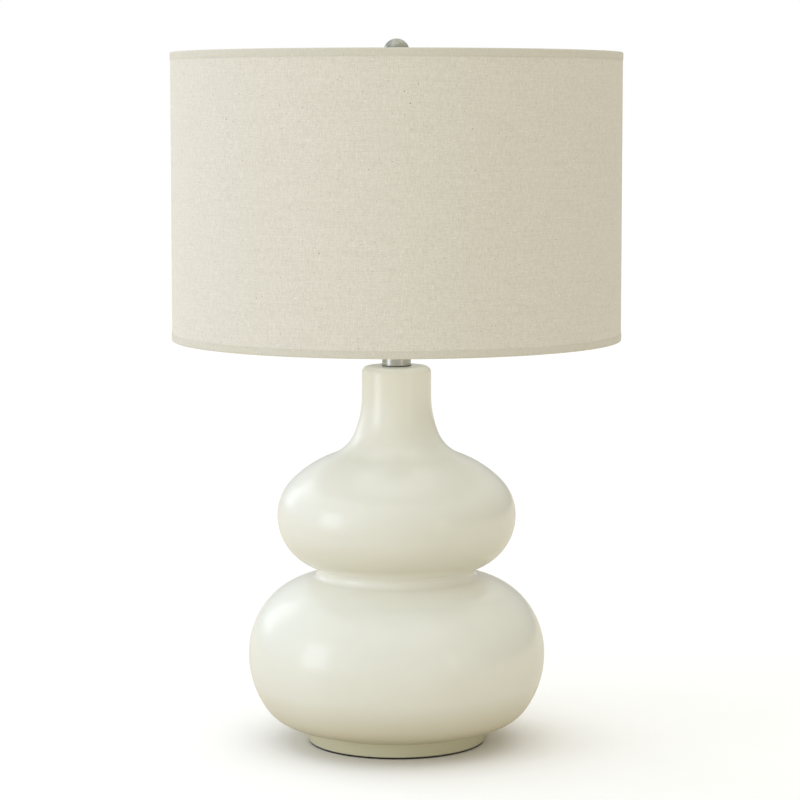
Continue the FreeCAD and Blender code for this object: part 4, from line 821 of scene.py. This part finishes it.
def weave(name, light, dark):
    """Plain woven linen that follows its UV map, in metres along and across the cloth."""
    made, tree, shader = finish_of(
        name, Roughness=0.92, Specular_IOR_Level=0.2, Sheen_Weight=0.15, Sheen_Roughness=0.5,
    )
    lie = add(tree, "ShaderNodeUVMap", uv_map="cloth").outputs["UV"]
    axes = add(tree, "ShaderNodeSeparateXYZ", {0: lie}).outputs

    def streaks(long_step, short_step, upright, seed):
        """Noise drawn out along the yarns of one direction; the seed moves it."""
        size = [1 / long_step, 1 / short_step, 1]
        if upright:
            size = [1 / short_step, 1 / long_step, 1]
        inputs = {"Vector": lie, "Scale": size, "Location": (seed, seed * 1.7, seed)}
        spot = add(tree, "ShaderNodeMapping", inputs).outputs["Vector"]
        return cloudy(tree, spot, scale=1, roughness=0.6)

    weft = streaks(long_step=0.0055, short_step=0.0007, upright=False, seed=3.1)
    warp = streaks(long_step=0.005, short_step=0.0005, upright=True, seed=8.3)
    long_weft = streaks(long_step=0.03, short_step=0.0013, upright=False, seed=5.7)
    thick_places = streaks(long_step=0.008, short_step=0.0011, upright=False, seed=11.9)
    slub = ranged(tree, thick_places, 0.66, 0.8)
    nubs = cloudy(tree, lie, scale=1500, detail=1, roughness=0.5)
    across = sums(tree, "SINE", sums(tree, "MULTIPLY", axes["X"], math.tau / yarn))
    along = sums(tree, "SINE", sums(tree, "MULTIPLY", axes["Y"], math.tau / yarn))
    checks = sums(tree, "MULTIPLY", across, along)
    cloth = weighed(tree, [(weft, 0.24), (warp, 0.34), (long_weft, 0.12), (nubs, 0.3)])
    tone = mixed(tree, ranged(tree, cloth, 0.4, 0.6), dark, light)
    tone = mixed(tree, sums(tree, "MULTIPLY", slub, 0.22), tone, paint(176, 166, 140))
    # seed flecks: a few dark, more pale, each where a finer and a coarser noise agree
    flecks = cloudy(tree, lie, scale=620, detail=1, roughness=0.5)
    sparse = cloudy(tree, lie, scale=140, detail=2, roughness=0.6)
    dark_fine, dark_coarse = ranged(tree, flecks, 0.71, 0.75), ranged(tree, sparse, 0.48, 0.56)
    dark_fleck = sums(tree, "MULTIPLY", dark_fine, dark_coarse)
    tone = mixed(tree, sums(tree, "MULTIPLY", dark_fleck, 0.75), tone, paint(112, 98, 76))
    pale_fine, pale_coarse = ranged(tree, flecks, 0.315, 0.255), ranged(tree, sparse, 0.57, 0.47)
    pale_fleck = sums(tree, "MULTIPLY", pale_fine, pale_coarse)
    tone = mixed(tree, sums(tree, "MULTIPLY", pale_fleck, 0.8), tone, paint(250, 247, 238))
    height = weighed(tree, [(checks, 0.22), (cloth, 1.0), (slub, 0.5)])
    feed(tree, shader, Base_Color=tone, Normal=relief(tree, height, depth=0.00014, strength=0.6))
    return made


def cloth_strip(name, columns, spots, material, notches=(), notch_row=0):
    """A strip of cloth round the shade. spots(share) gives the angle at one share of the
    strip's length, how far along the strip that is, and the strip's points there, as
    (radius, height, distance across). At the notches the rows past notch_row are left out."""
    verts, faces, lie = [], [], []
    for i in range(columns + 1):
        turn, length, line = spots(i / columns)
        for radius, height, across in line:
            verts.append((radius * math.cos(turn), radius * math.sin(turn), height))
            lie.append((length, across))
    rows = len(verts) // (columns + 1)
    for i in range(columns):
        turn = math.atan2(verts[i * rows][1], verts[i * rows][0])
        notched = any(abs(math.remainder(turn - notch, math.tau)) < arm_room for notch in notches)
        for j in range(rows - 1):
            a = i * rows + j
            if not (notched and j > notch_row):
                faces.append((a, a + rows, a + rows + 1, a + 1))
    mesh = bpy.data.meshes.new(name)
    mesh.from_pydata(verts, [], faces)
    layer = mesh.uv_layers.new(name="cloth")
    for loop in mesh.loops:
        layer.data[loop.index].uv = lie[loop.vertex_index]
    mesh.materials.append(material)
    for face in mesh.polygons:
        face.use_smooth = True
    return placed(name, mesh)


def thickened(piece, thickness, offset):
    """Give a strip of cloth its thickness."""
    solid = piece.modifiers.new("cloth", "SOLIDIFY")
    solid.thickness, solid.offset = thickness, offset
    applied(piece, solid)


linen = weave("linen", light=paint(232, 227, 216), dark=paint(208, 202, 189))
cloth_girth = math.tau * (liner_outer + cloth_thick / 2)
linen_columns, linen_rows = 420, 72


def linen_line(share):
    """The linen at one share of its length, from rim to rim."""
    length = share * (cloth_girth + lap)
    turn = seam_turn + length / (liner_outer + cloth_thick / 2)
    # the last stretch rides over the first one
    over = min(1.0, max(0.0, (length - cloth_girth + lap_slope) / lap_slope))
    radius = liner_outer + liner_gap + over * (cloth_thick + lap_gap)
    low, high = shade_low + rim_gap, shade_high - rim_gap
    heights = [low + (high - low) * j / linen_rows for j in range(linen_rows + 1)]
    return turn, length, [(radius, height, height) for height in heights]


linen_skin = cloth_strip("linen_skin", linen_columns, linen_line, linen)
thickened(linen_skin, cloth_thick, 1)
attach(linen_skin, "shade")
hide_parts("shade_fabric")

tape = weave("linen_tape", light=paint(218, 214, 200), dark=paint(206, 201, 187))
tape_columns = 360
tape_outside, tape_inside = 0.19982, 0.1953
tape_band, tape_turn_in, tape_bend = 0.0065, 0.0048, 0.0011
tape_slope = 0.003
bend_rows, turn_in_rows = 6, 4


def ranged_step(length, start, full, last, end, girth):
    """1 between full and last, falling to 0 at start and end, on a closed girth."""
    at = length - girth if length > girth / 2 else length
    if at < full:
        return max(0.0, (at - start) / (full - start))
    return 1.0 if at <= last else max(0.0, (end - at) / (end - last))


def rim_tape(name, rim, side, node, notches):
    """The tape over one rim: its outside band, over the ring, and down on the ring's inside.
    side is 1 at the top and -1 at the bottom; notches leave room for the arms."""
    bend_steps = range(bend_rows + 1)
    step = 90 / bend_rows
    band_step = (tape_band - tape_bend) / bend_rows
    turn_in_step = (tape_turn_in - tape_bend) / turn_in_rows
    over_rim = (tape_outside - tape_bend, tape_bend)
    under_rim = (tape_inside + tape_bend, tape_bend)
    path = [(tape_outside, tape_band - band_step * k) for k in bend_steps]
    path += [on_arc(over_rim, tape_bend, -step * k) for k in bend_steps[1:]]
    path += [on_arc(under_rim, tape_bend, -90 - step * k) for k in bend_steps]
    path += [(tape_inside, tape_bend + turn_in_step * k) for k in range(1, turn_in_rows + 1)]
    lie = [0.0]
    for here, after in zip(path, path[1:]):
        lie.append(lie[-1] + math.dist(here, after))
    girth = math.tau * tape_outside

    def line(share):
        """The tape at one share of its length, lifted where it rides over the linen's lap."""
        length = share * girth
        lift = cloth_thick * ranged_step(length, -tape_slope, 0.0, lap, lap + tape_slope, girth)
        spots = []
        for k, ((radius, drop), across) in enumerate(zip(path, lie)):
            lifted = radius + lift * max(0.0, 1 - max(0, k - bend_rows) / bend_rows)
            spots.append((lifted, rim - side * (drop + tape_thick / 2), across))
        return seam_turn + share * math.tau, length, spots

    piece = cloth_strip(name, tape_columns, line, tape, notches, notch_row=2 * bend_rows)
    thickened(piece, tape_thick, 0)
    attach(piece, "shade")
    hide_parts(node)
    return piece


top_tape = rim_tape("top_hem_tape", shade_high, 1, "top_hem", arm_turns)
bottom_tape = rim_tape("bottom_hem_tape", shade_low, -1, "bottom_hem", [])

# ---- Finial -------------------------------------------------------------------------
# A turned ball with a short neck, in brushed nickel, on a brass insert whose thread runs
# on the stud and holds the hub of the shade down.
satin = brushed(
    "satin_nickel", light=paint(180, 179, 167), dark=paint(126, 125, 113), roughness=0.24,
    stretch=(110, 110, 110),
)
dressed("finial_ball", satin)
dressed("finial_insert", brass)
